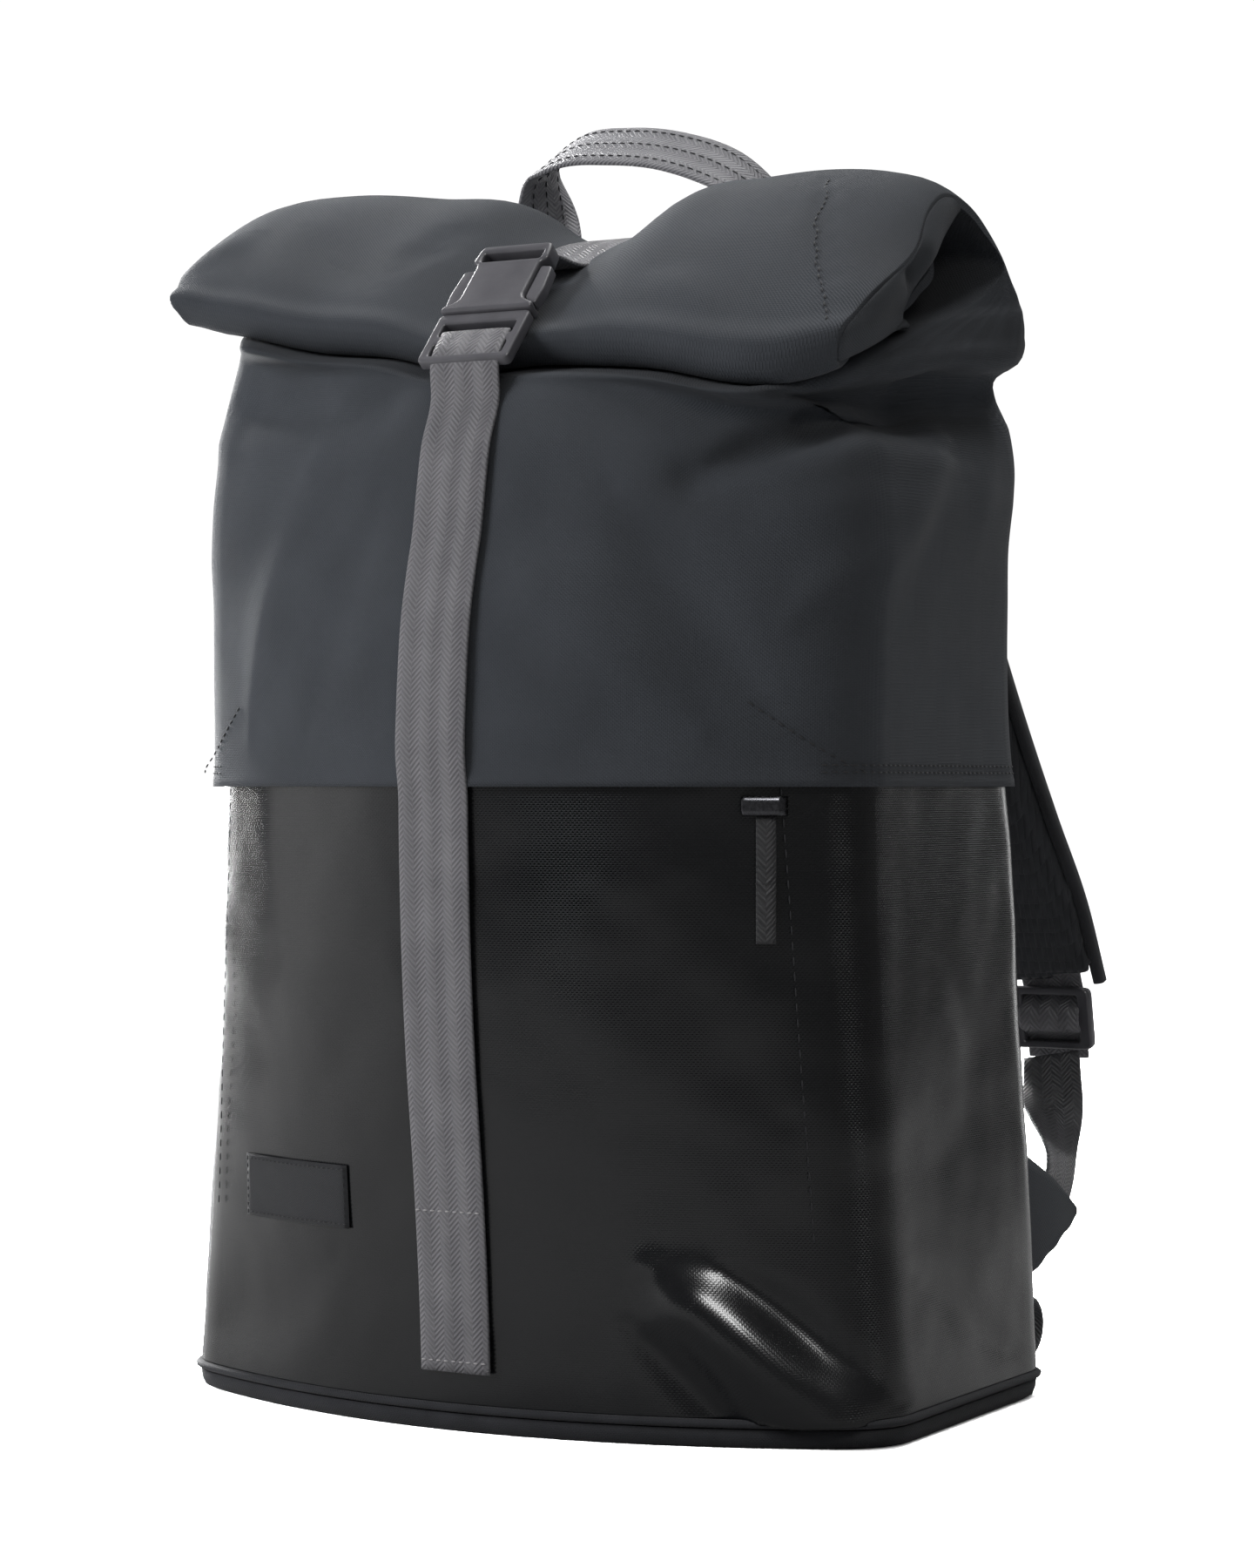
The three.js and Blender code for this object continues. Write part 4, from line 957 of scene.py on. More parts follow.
# %% Closing strap
STRAP_WIDTH, WEBBING, STRAP_END_HEIGHT, STRAP_HIGH = 30, 2, 23, 384
BUCKLE_LENGTH, BUCKLE_WIDTH, BUCKLE_THICK, BUCKLE_TILT = 63, 40, 8, 48
BUCKLE_FORWARD, BUCKLE_RISE = 0.9227, 18.8
FOOT_REACH, BAR_REACH, BAR_LIFT, FOOT_GAP = 28, 16, 2.0, 1.5
STRAP_SWAY, SWAY_LENGTH, PATH_STEP = 0.5, 47, 3
SIDEWAYS = (1, 0, 0)
tilt = math.radians(BUCKLE_TILT)
buckle_centre = np.array([0, ROLL_BACK - ROLL_DEPTH * BUCKLE_FORWARD, ROLL_FLOOR + BUCKLE_RISE])
up_buckle = np.array([0, math.cos(tilt), math.sin(tilt)])
out_of_buckle = np.array([0, -math.sin(tilt), math.cos(tilt)])


def front_y(z):
    """Where the front's middle lies at some heights, on the sack or on the tub."""
    outside = np.where(np.asarray(z) >= HEM_HEIGHT - 2, OVER, 0)
    middle = np.array([(0.0, 0.0)])
    return wall(level_rows(np.atleast_1d(z).astype(float)), -outside, middle)[:, 0, 1]


strap_z = np.concatenate([np.linspace(STRAP_END_HEIGHT, HEM_HEIGHT - 14, 12),
                          np.linspace(HEM_HEIGHT - 4, STRAP_HIGH, 10)])
strap_y = front_y(strap_z) - 2 * GAP - WEBBING / 2
strap_line = np.stack([np.zeros_like(strap_z), strap_y, strap_z], axis=1)
frame_foot = buckle_centre - FOOT_REACH * up_buckle - np.array([0, FOOT_GAP, 0])
frame_bar = buckle_centre - BAR_REACH * up_buckle + BAR_LIFT * out_of_buckle
strap_path = through(np.concatenate([strap_line, [frame_foot, frame_bar]]), PATH_STEP)
strap_path[:, 0] += STRAP_SWAY * np.sin(strap_path[:, 2] / SWAY_LENGTH)
front_strap = ribbon("closing_strap_front", strap_path, SIDEWAYS, STRAP_WIDTH, WEBBING, webbing)
dressed(front_strap, stands_for="front_strap")

over_line = wall(band_rows()[:5], -2 * GAP - WEBBING / 2, np.array([(0.0, 1.0)]))[:, 0]
socket_end = buckle_centre + up_buckle * (BUCKLE_LENGTH / 2 - 3)
over_path = through(np.concatenate([over_line, [socket_end]]), PATH_STEP)
top_strap = ribbon("closing_strap_top", over_path, SIDEWAYS, STRAP_WIDTH, WEBBING, webbing)
dressed(top_strap, stands_for="top_strap")

# %% [markdown]
# ## The buckle
# A side release buckle is two mouldings. Each is drawn flat as a curve with its windows, given
# a thickness and rounded edges, and then laid on the front slope of the roll.

# %% Moulded pieces from flat outlines
def mirrored(points):
    """The right half of an outline and its mirror image."""
    return list(points) + [(-x, y) for x, y in reversed(points)]


def moulded(name, outline, windows, thick, rounding, place, finish, segments=3):
    """A flat moulding with rounded edges. Points are in millimetres."""
    drawn = bpy.data.curves.new(name, "CURVE")
    drawn.dimensions = "2D"
    drawn.fill_mode = "BOTH"
    drawn.extrude = (thick / 2 - rounding) * MM
    drawn.bevel_depth = rounding * MM
    drawn.offset = -rounding * MM
    drawn.bevel_resolution = segments
    for ring in [outline, *windows]:
        spline = drawn.splines.new("POLY")
        spline.points.add(len(ring) - 1)
        for point, (x, y) in zip(spline.points, ring):
            point.co = (x * MM, y * MM, 0, 1)
        spline.use_cyclic_u = True
    holder = linked(name + "_drawing", drawn)
    mesh = plain_mesh(holder)
    bpy.data.objects.remove(holder)
    mesh.transform(place)
    mended(mesh, outward=True)
    mesh.materials.clear()
    mesh.materials.append(finish)
    mesh.shade_smooth()
    mesh.set_sharp_from_angle(angle=math.radians(35))
    return linked(name, mesh)


def rounded(points, radius, steps=4):
    """The same outline with each corner turned into a short curve."""
    points = [np.array(p, float) for p in points]
    out = []
    for i, corner in enumerate(points):
        before, after = points[i - 1], points[(i + 1) % len(points)]
        to_before, to_after = before - corner, after - corner
        length_before, length_after = np.linalg.norm(to_before), np.linalg.norm(to_after)
        reach = min(radius, length_before * 0.45, length_after * 0.45)
        start = corner + to_before / length_before * reach
        end = corner + to_after / length_after * reach
        for s in np.linspace(0, 1, steps):
            out.append(tuple((1 - s) ** 2 * start + 2 * s * (1 - s) * corner + s * s * end))
    return out


buckle_place = Matrix.Translation(Vector(buckle_centre) * MM) @ Matrix.Rotation(tilt, 4, "X")
half, top = BUCKLE_WIDTH / 2, BUCKLE_LENGTH / 2
bay = half * 0.3
PLUG_THICK = BUCKLE_THICK * 0.6
socket_right = [(half * 0.78, top), (half * 0.84, top * 0.72), (half - bay, top * 0.66),
                (half - bay, top * 0.02), (half, -top * 0.08), (half, -top * 0.16)]
socket_slot = rounded(mirrored([(half * 0.66, top * 0.88), (half * 0.66, top * 0.72)]), 1.2)
socket = moulded("buckle_socket_shell", rounded(mirrored(socket_right), 2.5), [socket_slot],
                 BUCKLE_THICK, 1.3, buckle_place, plastic.material)
dressed(socket, stands_for="buckle_socket")

frame_outline = rounded(mirrored([(half, -top * 0.16 - GAP), (half, -top)]), 2.5)
frame_windows = [rounded(mirrored([(half * 0.8, top * high), (half * 0.8, top * low)]), 1.0)
                 for high, low in ((-0.34, -0.56), (-0.7, -0.9))]
lock = moulded("buckle_plug_frame", frame_outline, frame_windows, PLUG_THICK, 1.0, buckle_place,
               plastic.material)
dressed(lock, stands_for="buckle_frame")

arm_points = [(half - bay + GAP, top * 0.04), (half, -top * 0.06), (half * 1.04, top * 0.2),
              (half * 0.98, top * 0.6), (half - bay + GAP, top * 0.62)]
for side, name in SIDES:
    node = "buckle_arm_" + name
    arm_outline = rounded([(side * x, y) for x, y in arm_points], 1.5)
    arm = moulded(node + "_spring", arm_outline, [], PLUG_THICK, 0.9, buckle_place, plastic.material)
    dressed(arm, stands_for=node)

# %% [markdown]
# ## The carrying handle
# One band of doubled webbing, sewn flat to the back at both feet. It twists as it rises, so
# that its wide face leans toward the front.

# %% Handle
HANDLE_HALF, HANDLE_TOP, HANDLE_BAND, HANDLE_THICK, HANDLE_BACK = 70, 504, 27, 3, 60
HANDLE_COLUMNS = ("across", "height", "forward", "tilt", "turn")
HANDLE = columns(HANDLE_COLUMNS, [
    (-0.92, 0.862, 0.055, 0, 1), (-0.94, 0.915, 0.05, 0, 0.9), (-0.965, 0.955, 0.14, 10, 0.4),
    (-0.955, 0.986, 0.22, 25, 0), (-0.77, 1.0, 0.3, 35, 0), (-0.4, 1.001, 0.37, 40, 0),
    (-0.05, 0.993, 0.37, 40, 0), (0.3, 0.974, 0.33, 40, 0), (0.62, 0.938, 0.2, 28, 0.2),
    (0.84, 0.905, 0.08, 10, 0.8), (0.92, 0.862, 0.055, 0, 1),
])
handle_middles = np.stack([HANDLE_HALF * HANDLE["across"],
                           HANDLE_BACK - HANDLE_BAND * HANDLE["forward"],
                           HANDLE_TOP * HANDLE["height"]], axis=1)
lean = np.radians(HANDLE["tilt"])
none = np.zeros_like(lean)
raised = np.stack([none, np.cos(lean), np.sin(lean)], axis=1)
flat_on_back = np.stack([-np.sign(HANDLE["across"]), none, none], axis=1)
turned = HANDLE["turn"][:, None]
handle_across = raised * (1 - turned) + flat_on_back * turned


def finer(middles, acrosses, step):
    """A smooth path and the matching directions across it."""
    run = lengths(middles)
    at = np.linspace(0, run[-1], int(run[-1] / step) + 1)
    fine = read_all(run, np.concatenate([middles, acrosses], axis=1), at)
    return fine[:, :3], fine[:, 3:]


handle_path, handle_sides = finer(handle_middles, handle_across, 2.5)
# The handle's webbing is the lighter copy of the grey webbing, with painted top light.
handle = ribbon("grab_handle_band", handle_path, handle_sides, HANDLE_BAND, HANDLE_THICK,
                webbing_painted_top_light, edge=0.35)
dressed(handle, stands_for="grab_handle")

# %% [markdown]
# ## Padding
# Shoulder pads and the back panel are foam in spacer mesh. Each shoulder pad starts as a slightly
# smaller closed form, is blown up as cloth with a little pressure, and keeps the crowned shape. A
# cap on how far a point moves keeps the pads clear of their neighbours.

# %% Blowing up a pad
CLOTH_FRAMES = 14


def coordinates(mesh):
    """Every point of a mesh, in metres."""
    found = np.empty(len(mesh.vertices) * 3)
    mesh.vertices.foreach_get("co", found)
    return found.reshape(-1, 3)


def blown_up(pad, voxel, cap, pressure=4.0):
    """Remeshes pad, runs it as cloth under pressure and keeps the result."""
    remesh = pad.modifiers.new("remesh", "REMESH")
    remesh.mode = "VOXEL"
    remesh.voxel_size = voxel * MM
    mesh = plain_mesh(pad)
    pad.modifiers.clear()
    pad.data = mesh
    start = coordinates(mesh)
    cloth = pad.modifiers.new("cloth", "CLOTH")
    cloth.settings.quality = 5
    cloth.settings.mass = 0.3
    cloth.settings.tension_stiffness = 15
    cloth.settings.bending_stiffness = 2
    cloth.settings.use_pressure = True
    cloth.settings.uniform_pressure_force = pressure
    cloth.settings.effector_weights.gravity = 0
    cloth.point_cache.frame_start = 1
    cloth.point_cache.frame_end = CLOTH_FRAMES
    for step in range(1, CLOTH_FRAMES + 1):
        bpy.context.scene.frame_set(step)
    moved = plain_mesh(pad)
    pad.modifiers.clear()
    shift = coordinates(moved) - start
    size = np.linalg.norm(shift, axis=1)
    shift *= np.minimum(1, cap * MM / np.maximum(size, 1e-9))[:, None]
    mesh.vertices.foreach_set("co", (start + shift).ravel())
    mesh.update()
    bpy.data.meshes.remove(moved)
    bpy.context.scene.frame_set(1)
    mesh.shade_smooth()
    finer_mesh = pad.modifiers.new("smooth", "SUBSURF")
    finer_mesh.levels = finer_mesh.render_levels = 1
    print(pad.name, "largest move", round(float(size.max() / MM), 1), "mm")


# %% Shoulder pads
PAD_THICK, PAD_WIDTH, PAD_SPREAD, PAD_BOW, PAD_TOP = 10, 66, 111, 156, 424
PAD_SEAT = {1: 60.7, -1: 63.8}
PAD_COLUMNS = ("across", "behind", "height", "width", "thick")
PAD = columns(PAD_COLUMNS, [
    (0.43, 0.404, 1.0, 0.9, 0.6), (0.46, 0.505, 0.95, 0.95, 0.9), (0.53, 0.62, 0.89, 1.0, 1.0),
    (0.62, 0.705, 0.81, 1.0, 1.0), (0.71, 0.742, 0.72, 0.98, 1.0), (0.81, 0.783, 0.625, 0.96, 1.0),
    (0.9, 0.842, 0.535, 0.95, 1.0), (0.97, 0.922, 0.455, 0.94, 1.0), (1.01, 1.0, 0.375, 0.92, 0.7),
])
BINDING_WIDTH, BINDING_THICK, BINDING_INSET = 5.0, 6.0, 1.5
PAD_PLACES, FOAM_SMALLER, FOAM_THINNER = 60, 3, 0.75
for side, name in SIDES:
    middles = np.stack([side * PAD_SPREAD * PAD["across"], PAD_BOW * PAD["behind"],
                        PAD_TOP * PAD["height"]], axis=1)
    middles[0, 1] = PAD_SEAT[side]
    run = lengths(middles)
    at = np.linspace(0, run[-1], PAD_PLACES)
    path = read_all(run, middles, at)
    widths = PAD_WIDTH * smooth_read(run, PAD["width"], at)
    thicks = PAD_THICK * smooth_read(run, PAD["thick"], at)
    pad = ribbon("shoulder_pad_foam_" + name, path, SIDEWAYS, widths - FOAM_SMALLER,
                 thicks * FOAM_THINNER, mesh_cloth.material, sides=36)
    blown_up(pad, voxel=4, cap=2.2)
    dressed(pad, stands_for="shoulder_pad_" + name)
    for edge in (-1, 1):
        line = path + np.outer(edge * (widths / 2 - BINDING_INSET), SIDEWAYS)
        which = "inner" if edge * side < 0 else "outer"
        tape = ribbon(f"shoulder_binding_{name}_{which}", line, SIDEWAYS, BINDING_WIDTH, BINDING_THICK,
                      binding.material, sides=14, edge=0.8)
        dressed(tape)

# %% [markdown]
# ## Back panel
# The panel is one foam sheet with sewn channels. The channels run up and down beside the
# spine, where air passes, and the edge is rounded off thin all the way round.

# %% Back panel
PANEL_HALF, PANEL_LOW, PANEL_HIGH, PANEL_THICK = 116, 30, 384, 10
PANEL_CORNER, PANEL_CORNER_WIDE, PANEL_ROUND, PANEL_RIM = 22, 14, 9, 1.2
CHANNELS, CHANNEL_SPREAD, CHANNEL_DEPTH = (26, 72), 4.5, 0.55
CROSS_ROWS, CROSS_SPREAD = (118, 207, 296), 5
PANEL_ROWS, PANEL_PLACES = 120, 90


def round_rise(share):
    """A quarter circle's height over its run, both from 0 to 1."""
    return np.sqrt(np.clip(1 - (1 - share) ** 2, 0, 1))


panel_rings = []
for z in np.linspace(PANEL_LOW, PANEL_HIGH, PANEL_ROWS):
    lifted = float(drooped(np.array(-PANEL_HALF), np.array(z))) - z
    seat = level_rows(np.array([z - lifted]))[0, BACK_Y] + OVER + 2 * GAP
    end = min(z - PANEL_LOW, PANEL_HIGH - z)
    corner = round_rise(min(1.0, end / PANEL_CORNER))
    half_width = (PANEL_HALF - 2) - PANEL_CORNER_WIDE * (1 - corner)
    x = np.linspace(-half_width, half_width, PANEL_PLACES)
    edge = np.minimum(1, (half_width - np.abs(x)) / PANEL_ROUND)
    rise = round_rise(edge) * round_rise(min(1, end / PANEL_ROUND + 0.05))
    channel = sum(np.exp(-((np.abs(x) - middle) / CHANNEL_SPREAD) ** 2) for middle in CHANNELS)
    cross = sum(math.exp(-((z - row) / CROSS_SPREAD) ** 2) for row in CROSS_ROWS)
    deep = np.clip(np.maximum(channel, cross * (np.abs(x) < CHANNELS[1])), 0, 1)
    thick = PANEL_RIM + (PANEL_THICK - 1 - PANEL_RIM) * rise * (1 - CHANNEL_DEPTH * deep)
    back = np.stack([x[::-1], (seat + thick)[::-1], np.full(PANEL_PLACES, z)], axis=1)
    front = np.stack([x, np.full(PANEL_PLACES, seat), np.full(PANEL_PLACES, z)], axis=1)
    panel_rings.append(np.concatenate([front, back]))
panel = stacked("back_padding", [(np.array(panel_rings), True)], mesh_cloth.material)
dressed(panel, stands_for="back_panel")

# %% [markdown]
# ## Strap ends
# Below each pad a ladder lock takes up the webbing, whose lower end is sewn to a triangle of
# cloth in the side seam. A small loop of webbing sits in each lower corner of the back.

# %% Sizes of the strap ends
ADJUSTER_WIDTH, ADJUSTER_LENGTH, ADJUSTER_THICK, ADJUSTER_LEAN, ADJUSTER_DROP = 36, 26, 5, 12, 2.6
TAIL_WIDTH, TAIL_SLOPE = 25, 31
WING_X, WING_REACH, WING_LOW, WING_HIGH, WING_SEAT = 143, 52, 44, 94, 75.5
WING_ROWS, WING_PLACES, WING_BOW = 30, 12, 1.2
LOOP_LOW, LOOP_HIGH, LOOP_REACH, LOOP_WIDTH, LOOP_SEAT, LOOP_PLACES = 12, 38, 16, 10, 78, 24
TAIL_COLUMNS = ("across", "behind", "height", "turn")
TAIL = columns(TAIL_COLUMNS, [
    (0.835, 0.995, 0.3015, 0.0), (0.855, 0.96, 0.268, 0.15), (0.905, 0.868, 0.232, 0.6),
    (0.965, 0.772, 0.195, 0.95), (0.977, 0.69, 0.156, 1.0),
])
# The webbing's way through the lock: places along the lock and out of it.
THREADED = ((-18, -3.6), (-11, -3.6), (-7, -1), (-3, 3.4), (3, 3.4), (7, -1), (11, -3.6), (16, -2.6),
            (24, -1))


def oblong(half_width, high, low):
    """A plain outline between two heights."""
    return mirrored([(half_width, high), (half_width, low)])


# %% Adjusters, lower webbing, wings and loops
def adjuster(side, name):
    """A ladder lock at the pad's lower end, and the webbing threaded through it."""
    long_half = ADJUSTER_LENGTH / 2
    outline = rounded(oblong(ADJUSTER_WIDTH / 2, long_half, -long_half), 3)
    windows = [rounded(oblong(TAIL_WIDTH / 2, long_half * high, long_half * low), 1)
               for high, low in ((0.78, 0.2), (-0.2, -0.78))]
    height = PAD_TOP * PAD["height"][-1] - ADJUSTER_DROP - long_half
    middle = Vector((side * WING_X * TAIL["across"][0], PAD_BOW * PAD["behind"][-1], height)) * MM
    place = Matrix.Translation(middle) @ Matrix.Rotation(math.radians(90 + ADJUSTER_LEAN), 4, "X")
    ladder = moulded("ladder_lock_" + name, outline, windows, ADJUSTER_THICK, 1.1, place,
                     plastic.material)
    dressed(ladder, stands_for="strap_adjuster_" + name)
    line = [tuple(place @ (Vector((0, y, z)) * MM) / MM) for y, z in THREADED]
    threaded = ribbon("webbing_in_lock_" + name, through(line, 1.2), (side, 0, 0), TAIL_WIDTH + 2,
                      WEBBING, webbing)
    dressed(threaded)


def lower_webbing(side, name):
    """The webbing from the lock down to the wing. It turns to lie along the wing's slope."""
    middles = np.stack([side * WING_X * TAIL["across"], PAD_BOW * TAIL["behind"],
                        PAD_TOP * TAIL["height"]], axis=1)
    slope = math.radians(TAIL_SLOPE)
    side_slope = np.array([0, math.cos(slope), -math.sin(slope)])
    acrosses = np.outer(1 - TAIL["turn"], (side, 0, 0)) + np.outer(TAIL["turn"], side_slope)
    path, sides = finer(middles, acrosses, 2.5)
    tail = ribbon("lower_webbing_" + name, path, sides, TAIL_WIDTH, WEBBING, dark_webbing)
    dressed(tail, stands_for="tail_webbing_" + name)


def side_wing(side, name):
    """The triangle of cloth in the side seam, which the webbing is sewn to."""
    tip_low, tip_high = (WING_LOW + (WING_HIGH - WING_LOW) * share for share in (0.42, 0.76))
    rings = []
    for s in np.linspace(0, 1, WING_ROWS):
        low_edge = WING_LOW + (tip_low - WING_LOW) * s + 0.5 * math.sin(s * 21)
        upper = WING_HIGH + (tip_high - WING_HIGH) * s / 0.5
        outer = tip_high + (tip_low + 3 - tip_high) * (s - 0.5) / 0.5
        near = WING_X + WING_BOW * math.sin(math.pi * s)
        x0, x1 = (near - WEBBING, near) if side > 0 else (-near, WEBBING - near)
        y = WING_SEAT + WING_REACH * s
        zs = np.linspace(low_edge, min(upper, outer), WING_PLACES)
        rings.append([(x1, y, z) for z in zs] + [(x0, y, z) for z in zs[::-1]])
    wing = stacked("side_wing_" + name, [(np.array(rings), True)], woven.material)
    dressed(wing, stands_for="strap_wing_" + name)


def corner_loop(side, name):
    """The small loop of webbing in a lower corner of the back."""
    middle, high_half = (LOOP_LOW + LOOP_HIGH) / 2, (LOOP_HIGH - LOOP_LOW) / 2 - WEBBING / 2
    x, reach = side * (WING_X - LOOP_WIDTH / 2), LOOP_REACH - WEBBING / 2
    path = [(x, LOOP_SEAT + reach * math.cos(a), middle + high_half * math.sin(a))
            for a in np.linspace(-math.pi / 2, math.pi / 2, LOOP_PLACES)]
    loop = ribbon("corner_loop_band_" + name, path, SIDEWAYS, LOOP_WIDTH, WEBBING * 0.8, dark_webbing,
                  sides=16)
    dressed(loop, stands_for="corner_loop_" + name)


for side, name in SIDES:
    for make in (adjuster, lower_webbing, side_wing, corner_loop):
        make(side, name)

# %% [markdown]
# ## Small pieces on the front
# A blank woven patch sits low on the left. Under the hem on the right are the slider at the end of
# a hidden zip, and a ribbon for pulling it.

# %% Label, slider and ribbon
LABEL_WIDTH, LABEL_HEIGHT, LABEL_LEFT, LABEL_LOW, TRIM = 62, 24, -111, 73, 0.8
ZIP_HEIGHT, SLIDER_WIDTH, SLIDER_HEIGHT, SLIDER_THICK, SLIDER_X = 233, 13, 7, 3, 117
PULL_WIDTH, PULL_LENGTH, PULL_THICK = 6, 46, 1.2


def on_front(x, z, lift):
    """Places on the tub's front at a distance from it."""
    x, rows = np.asarray(x, float), calm_rows(np.asarray(z, float))
    across = x / (rows[:, HALF_WIDTH] + lift)
    found = [wall(rows[i:i + 1], -lift, np.array([(u, 0.0)]))[0, 0] for i, u in enumerate(across)]
    return np.array(found)


def patch(name, left, low, width, height, thick, finish, lift=GAP, across=24, rows_up=12, puff=0.0):
    """A thin piece lying on the front, with a slightly rounded edge."""
    rings = []
    for z in np.linspace(low, low + height, rows_up):
        end = min(1, min(z - low, low + height - z) / (0.25 * height) + 0.35)
        x = np.linspace(left, left + width, across)
        edge = np.minimum(1, np.minimum(x - left, left + width - x) / 1.0 + 0.4)
        near = on_front(x, np.full(across, z), lift)
        far = on_front(x, np.full(across, z), lift + thick)
        far = near + (far - near) * (edge * (1 + puff * end))[:, None]
        rings.append(np.concatenate([far, near[::-1]]))
    return stacked(name, [(np.array(rings), True)], finish)


label = patch("blank_patch", LABEL_LEFT, LABEL_LOW, LABEL_WIDTH, LABEL_HEIGHT, TRIM,
              label_cloth.material)
dressed(label, stands_for="label_patch")

slider = patch("zip_slider_body", SLIDER_X - SLIDER_WIDTH / 2, ZIP_HEIGHT - SLIDER_HEIGHT / 2,
               SLIDER_WIDTH, SLIDER_HEIGHT, SLIDER_THICK * 0.75, metal.material, puff=0.35)
dressed(slider, stands_for="zip_slider")

pull_high = ZIP_HEIGHT - SLIDER_HEIGHT / 2 - GAP
pull = patch("zip_ribbon", SLIDER_X - PULL_WIDTH / 2, pull_high - PULL_LENGTH, PULL_WIDTH, PULL_LENGTH,
             PULL_THICK, black_webbing, across=14, rows_up=40)
dressed(pull, stands_for="zip_pull")

# %% [markdown]
# ## Stitches
# Every seam is a row of the same short thread. A Geometry Nodes tree takes a line, spreads
# points along it at the stitch length, and puts one rounded thread on each, turned to follow
# the line. The result is made a plain mesh, so it carries no live modifier.

# %% The tree that sews a line
STITCH_SEGMENTS, STITCH_RINGS = 6, 5
FACES_OF_A_STITCH = STITCH_SEGMENTS * STITCH_RINGS


def stitch_tree():
    """A tree that turns a line into a row of stitches."""
    tree = bpy.data.node_groups.new("sew_along", "GeometryNodeTree")
    tree.interface.new_socket("Geometry", in_out="INPUT", socket_type="NodeSocketGeometry")
    for label, value in (("Stitch", 0.0028), ("Space", 0.0014), ("Thread", 0.0007)):
        socket = tree.interface.new_socket(label, in_out="INPUT", socket_type="NodeSocketFloat")
        socket.default_value = value
    tree.interface.new_socket("Material", in_out="INPUT", socket_type="NodeSocketMaterial")
    tree.interface.new_socket("Geometry", in_out="OUTPUT", socket_type="NodeSocketGeometry")
    kinds = {"start": "NodeGroupInput", "end": "NodeGroupOutput", "line": "GeometryNodeMeshToCurve",
             "pitch": "ShaderNodeMath", "spread": "GeometryNodeCurveToPoints",
             "form": "GeometryNodeMeshUVSphere", "size": "ShaderNodeCombineXYZ",
             "put": "GeometryNodeInstanceOnPoints", "real": "GeometryNodeRealizeInstances",
             "smooth": "GeometryNodeSetShadeSmooth", "paint": "GeometryNodeSetMaterial"}
    nodes = {name: tree.nodes.new(kind) for name, kind in kinds.items()}
    nodes["spread"].mode = "LENGTH"
    for label, value in (("Segments", STITCH_SEGMENTS), ("Rings", STITCH_RINGS), ("Radius", 0.5)):
        nodes["form"].inputs[label].default_value = value
    for source, output, target, entry in (
            ("start", "Geometry", "line", "Mesh"), ("start", "Stitch", "pitch", 0),
            ("start", "Space", "pitch", 1), ("line", "Curve", "spread", "Curve"),
            ("pitch", 0, "spread", "Length"), ("start", "Thread", "size", "X"),
            ("start", "Thread", "size", "Y"), ("start", "Stitch", "size", "Z"),
            ("spread", "Points", "put", "Points"), ("form", "Mesh", "put", "Instance"),
            ("spread", "Rotation", "put", "Rotation"), ("size", 0, "put", "Scale"),
            ("put", "Instances", "real", 0), ("real", 0, "smooth", "Geometry"),
            ("smooth", 0, "paint", "Geometry"), ("start", "Material", "paint", "Material"),
            ("paint", 0, "end", "Geometry")):
        tree.links.new(nodes[source].outputs[output], nodes[target].inputs[entry])
    return tree


SEW = stitch_tree()


def sewn(name, lines, stitch=2.8, space=1.4, width=0.7, finish=None):
    """Rows of stitches along lines of points in millimetres, as one piece."""
    points, edges = [], []
    for line in lines:
        first = len(points)
        points += [tuple(np.asarray(p) * MM) for p in line]
        edges += [(first + i, first + i + 1) for i in range(len(line) - 1)]
    mesh = bpy.data.meshes.new(name + "_line")
    mesh.from_pydata(points, edges, [])
    holder = linked(name + "_line", mesh)
    nodes = holder.modifiers.new("sew", "NODES")
    nodes.node_group = SEW
    values = {"Stitch": stitch * MM, "Space": space * MM, "Thread": width * MM,
              "Material": finish or thread.material}
    for item in SEW.interface.items_tree:
        if item.item_type == "SOCKET" and item.in_out == "INPUT" and item.name in values:
            nodes[item.identifier] = values[item.name]
    made = linked(name, plain_mesh(holder))
    bpy.data.objects.remove(holder)
    dressed(made)
    print(name, len(made.data.polygons) // FACES_OF_A_STITCH, "stitches")


# %% Lines on the bag
THREAD_LIFT, SLANT_LIFT, SEAM_LIFT = 0.25, 0.35, 0.35


def on_grid(grid, row):
    """Points of a wall's grid all along one row, a little outside it."""
    return list(grid[row] + normals_of(grid)[row] * THREAD_LIFT)


def height_row(grid, z):
    """The row of a wall's grid nearest to a height."""
    return int(np.argmin(np.abs(grid[:, 0, 2] - z)))


POCKET_HALF = 132
hem_lines = []
for above in (4, 8):
    line = on_grid(sack_moved, height_row(sack_moved[:60], HEM_HEIGHT + above))
    front_part, rest = line[:FRONT_PLACES], line[FRONT_PLACES:] + line[:1]
    hem_lines.append([p for p in front_part if p[0] < -POCKET_HALF])
    hem_lines.append([p for p in front_part if p[0] > POCKET_HALF] + rest)
sewn("hem_stitches", [line for line in hem_lines if len(line) > 2])


def on_sack(x, z):
    """The place on the sack's front at a width and a height, from the points round it."""
    near_hem = sack_moved[:70, :FRONT_PLACES + 5].reshape(-1, 3)
    away = (near_hem[:, 0] - x) ** 2 + (near_hem[:, 2] - z) ** 2
    near = near_hem[np.argsort(away)[:9]]
    table = np.column_stack([np.ones(len(near)), near[:, 0] - x, near[:, 2] - z])
    y = np.linalg.lstsq(table, near[:, 1], rcond=None)[0][0]
    return x, y - SLANT_LIFT, z


SLANT_TOP, SLANT_FOOT, SLANT_PLACES = (113, 270), (144, 246), 24


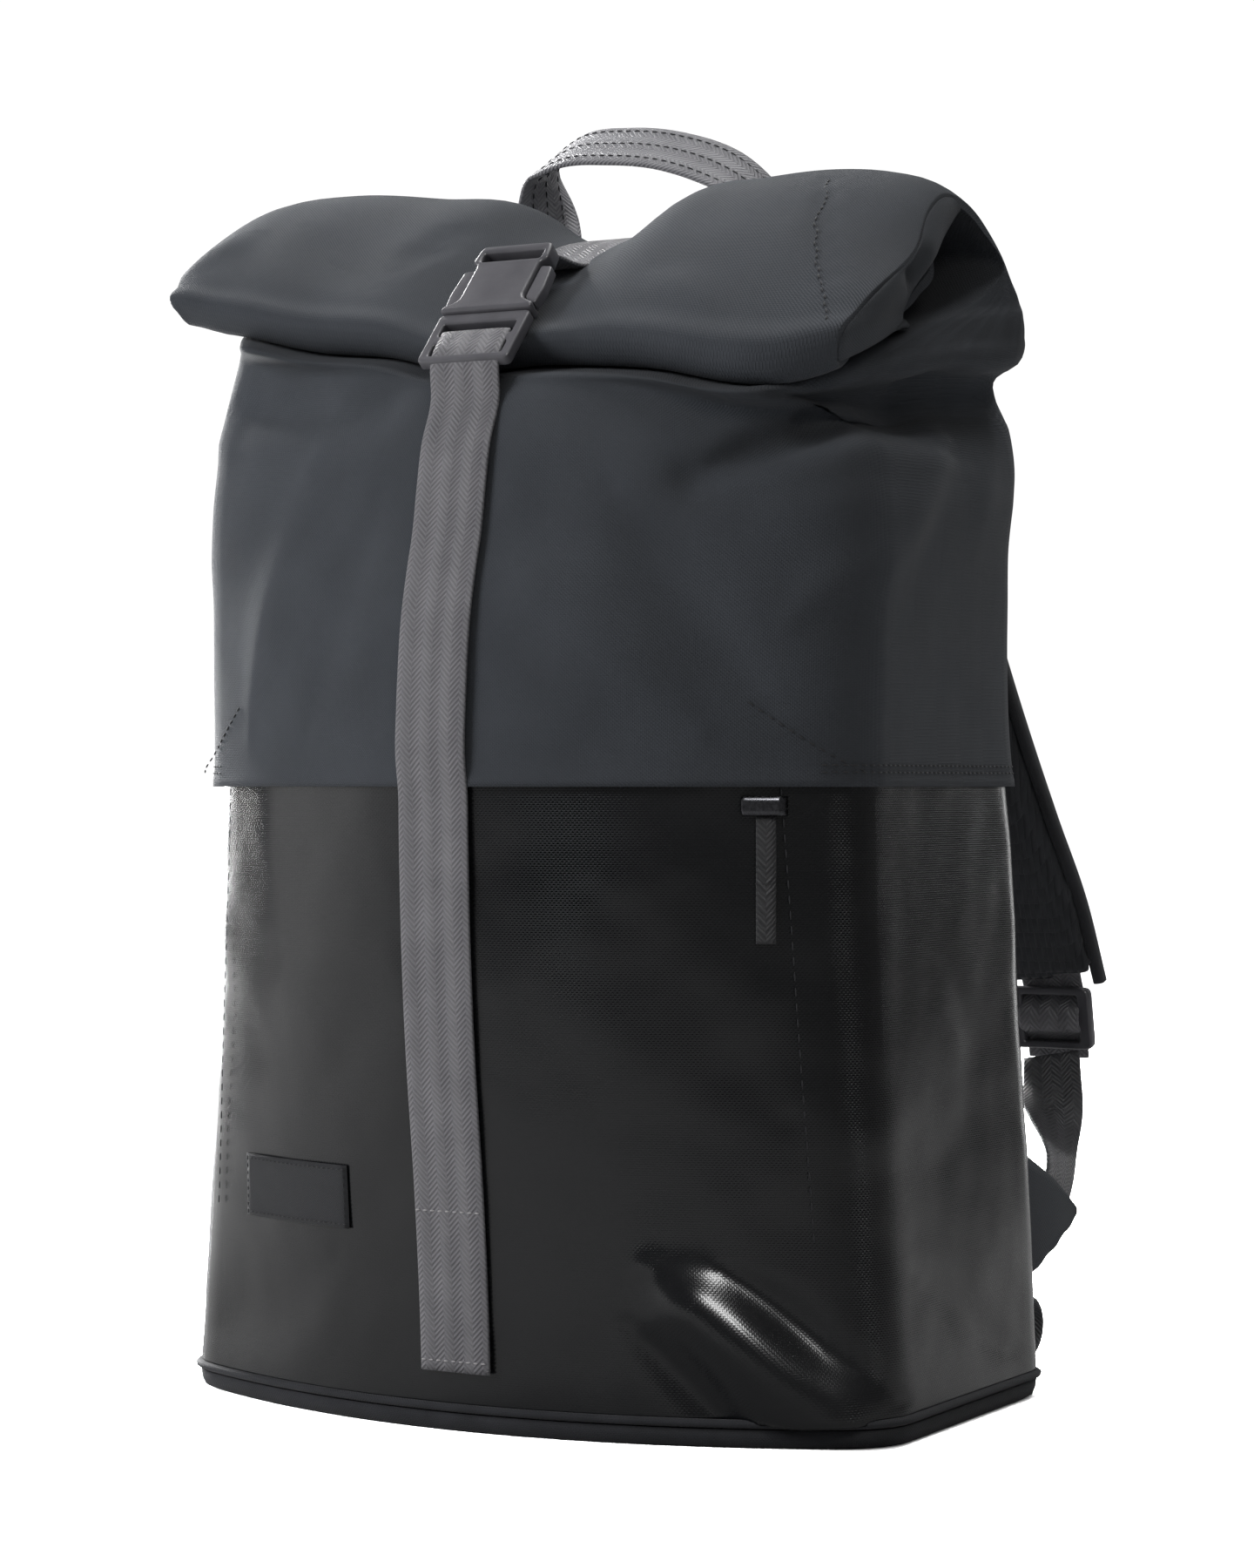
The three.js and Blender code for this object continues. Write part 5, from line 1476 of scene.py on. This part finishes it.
def slanted(side):
    """A slanting line on the sack's front, without places that nearly repeat."""
    ends = np.array([(side * x, z) for x, z in (SLANT_TOP, SLANT_FOOT)])
    places_on_line = (ends[0] + (ends[1] - ends[0]) * s for s in np.linspace(0, 1, SLANT_PLACES))
    kept = []
    for point in (on_sack(*place) for place in places_on_line):
        if not kept or np.linalg.norm(np.array(point) - kept[-1]) > 0.8:
            kept.append(point)
    return kept


sewn("pocket_slant_stitches", [slanted(side) for side, _ in SIDES])

seam_flat = sack_moved.reshape(-1, 3)
seam_out = normals_of(sack_moved).reshape(-1, 3)
seam_line = []
for p in laid_on(seam_flat, SEAM_PLACES):
    nearest = np.argmin(((seam_flat - p) ** 2).sum(1))
    seam_line.append(seam_flat[nearest] * 0.3 + p * 0.7 + seam_out[nearest] * SEAM_LIFT)
sewn("roll_seam_stitches", [seam_line])

POCKET_LOW, POCKET_HIGH, POCKET_TAPER = 77, 238, 10
z = np.linspace(POCKET_LOW, POCKET_HIGH, 60)
pocket_x = POCKET_HALF - POCKET_TAPER * (z - POCKET_LOW) / (POCKET_HIGH - POCKET_LOW)
pocket_lines = [on_front(side * pocket_x, z, 1.2) for side, _ in SIDES]
sewn("pocket_edge_stitches", pocket_lines, stitch=3.2, space=2.2, width=0.6)

# %% Lines on the straps, the label and the ribbon
STRAP_ROWS, STRAP_STITCH_HALF = (83, 27), 13
strap_marks = []
for z in STRAP_ROWS:
    depth = front_y(np.array([float(z)]))[0] - 2 * GAP - WEBBING - 0.1
    strap_marks.append([(x, depth, z) for x in np.linspace(-STRAP_STITCH_HALF, STRAP_STITCH_HALF, 14)])
sewn("strap_end_stitches", strap_marks, stitch=2.0, space=1.0, finish=light_thread.material)

HANDLE_ROWS, HANDLE_END = (-9.5, 0, 9.5), 8
handle_normal = np.cross(np.gradient(handle_path, axis=0), handle_sides)
handle_normal /= np.linalg.norm(handle_normal, axis=1)[:, None]
handle_lines = [handle_path + handle_normal * face * (HANDLE_THICK / 2 + 0.1) + handle_sides * off
                for face in (1, -1) for off in HANDLE_ROWS]
sewn("handle_stitches", [line[HANDLE_END:-HANDLE_END] for line in handle_lines])

LABEL_INSET = 1.6
label_lift = GAP + TRIM + 0.2
x0, x1 = LABEL_LEFT + LABEL_INSET, LABEL_LEFT + LABEL_WIDTH - LABEL_INSET
z0, z1 = LABEL_LOW + LABEL_INSET, LABEL_LOW + LABEL_HEIGHT - LABEL_INSET
around_label = [on_front(np.linspace(x0, x1, 30), np.full(30, z), label_lift) for z in (z0, z1)]
around_label += [on_front(np.full(10, x), np.linspace(z0, z1, 10), label_lift) for x in (x0, x1)]
sewn("label_stitches", around_label, stitch=1.8, space=1.0, width=0.5)

PULL_ROWS, PULL_STITCH_HALF = (205, 211), 2.2
pull_x = np.linspace(SLIDER_X - PULL_STITCH_HALF, SLIDER_X + PULL_STITCH_HALF, 4)
pull_marks = [on_front(pull_x, np.full(4, z), GAP + PULL_THICK + 0.2) for z in PULL_ROWS]
sewn("ribbon_stitches", pull_marks, stitch=1.4, space=0.6, width=0.5)
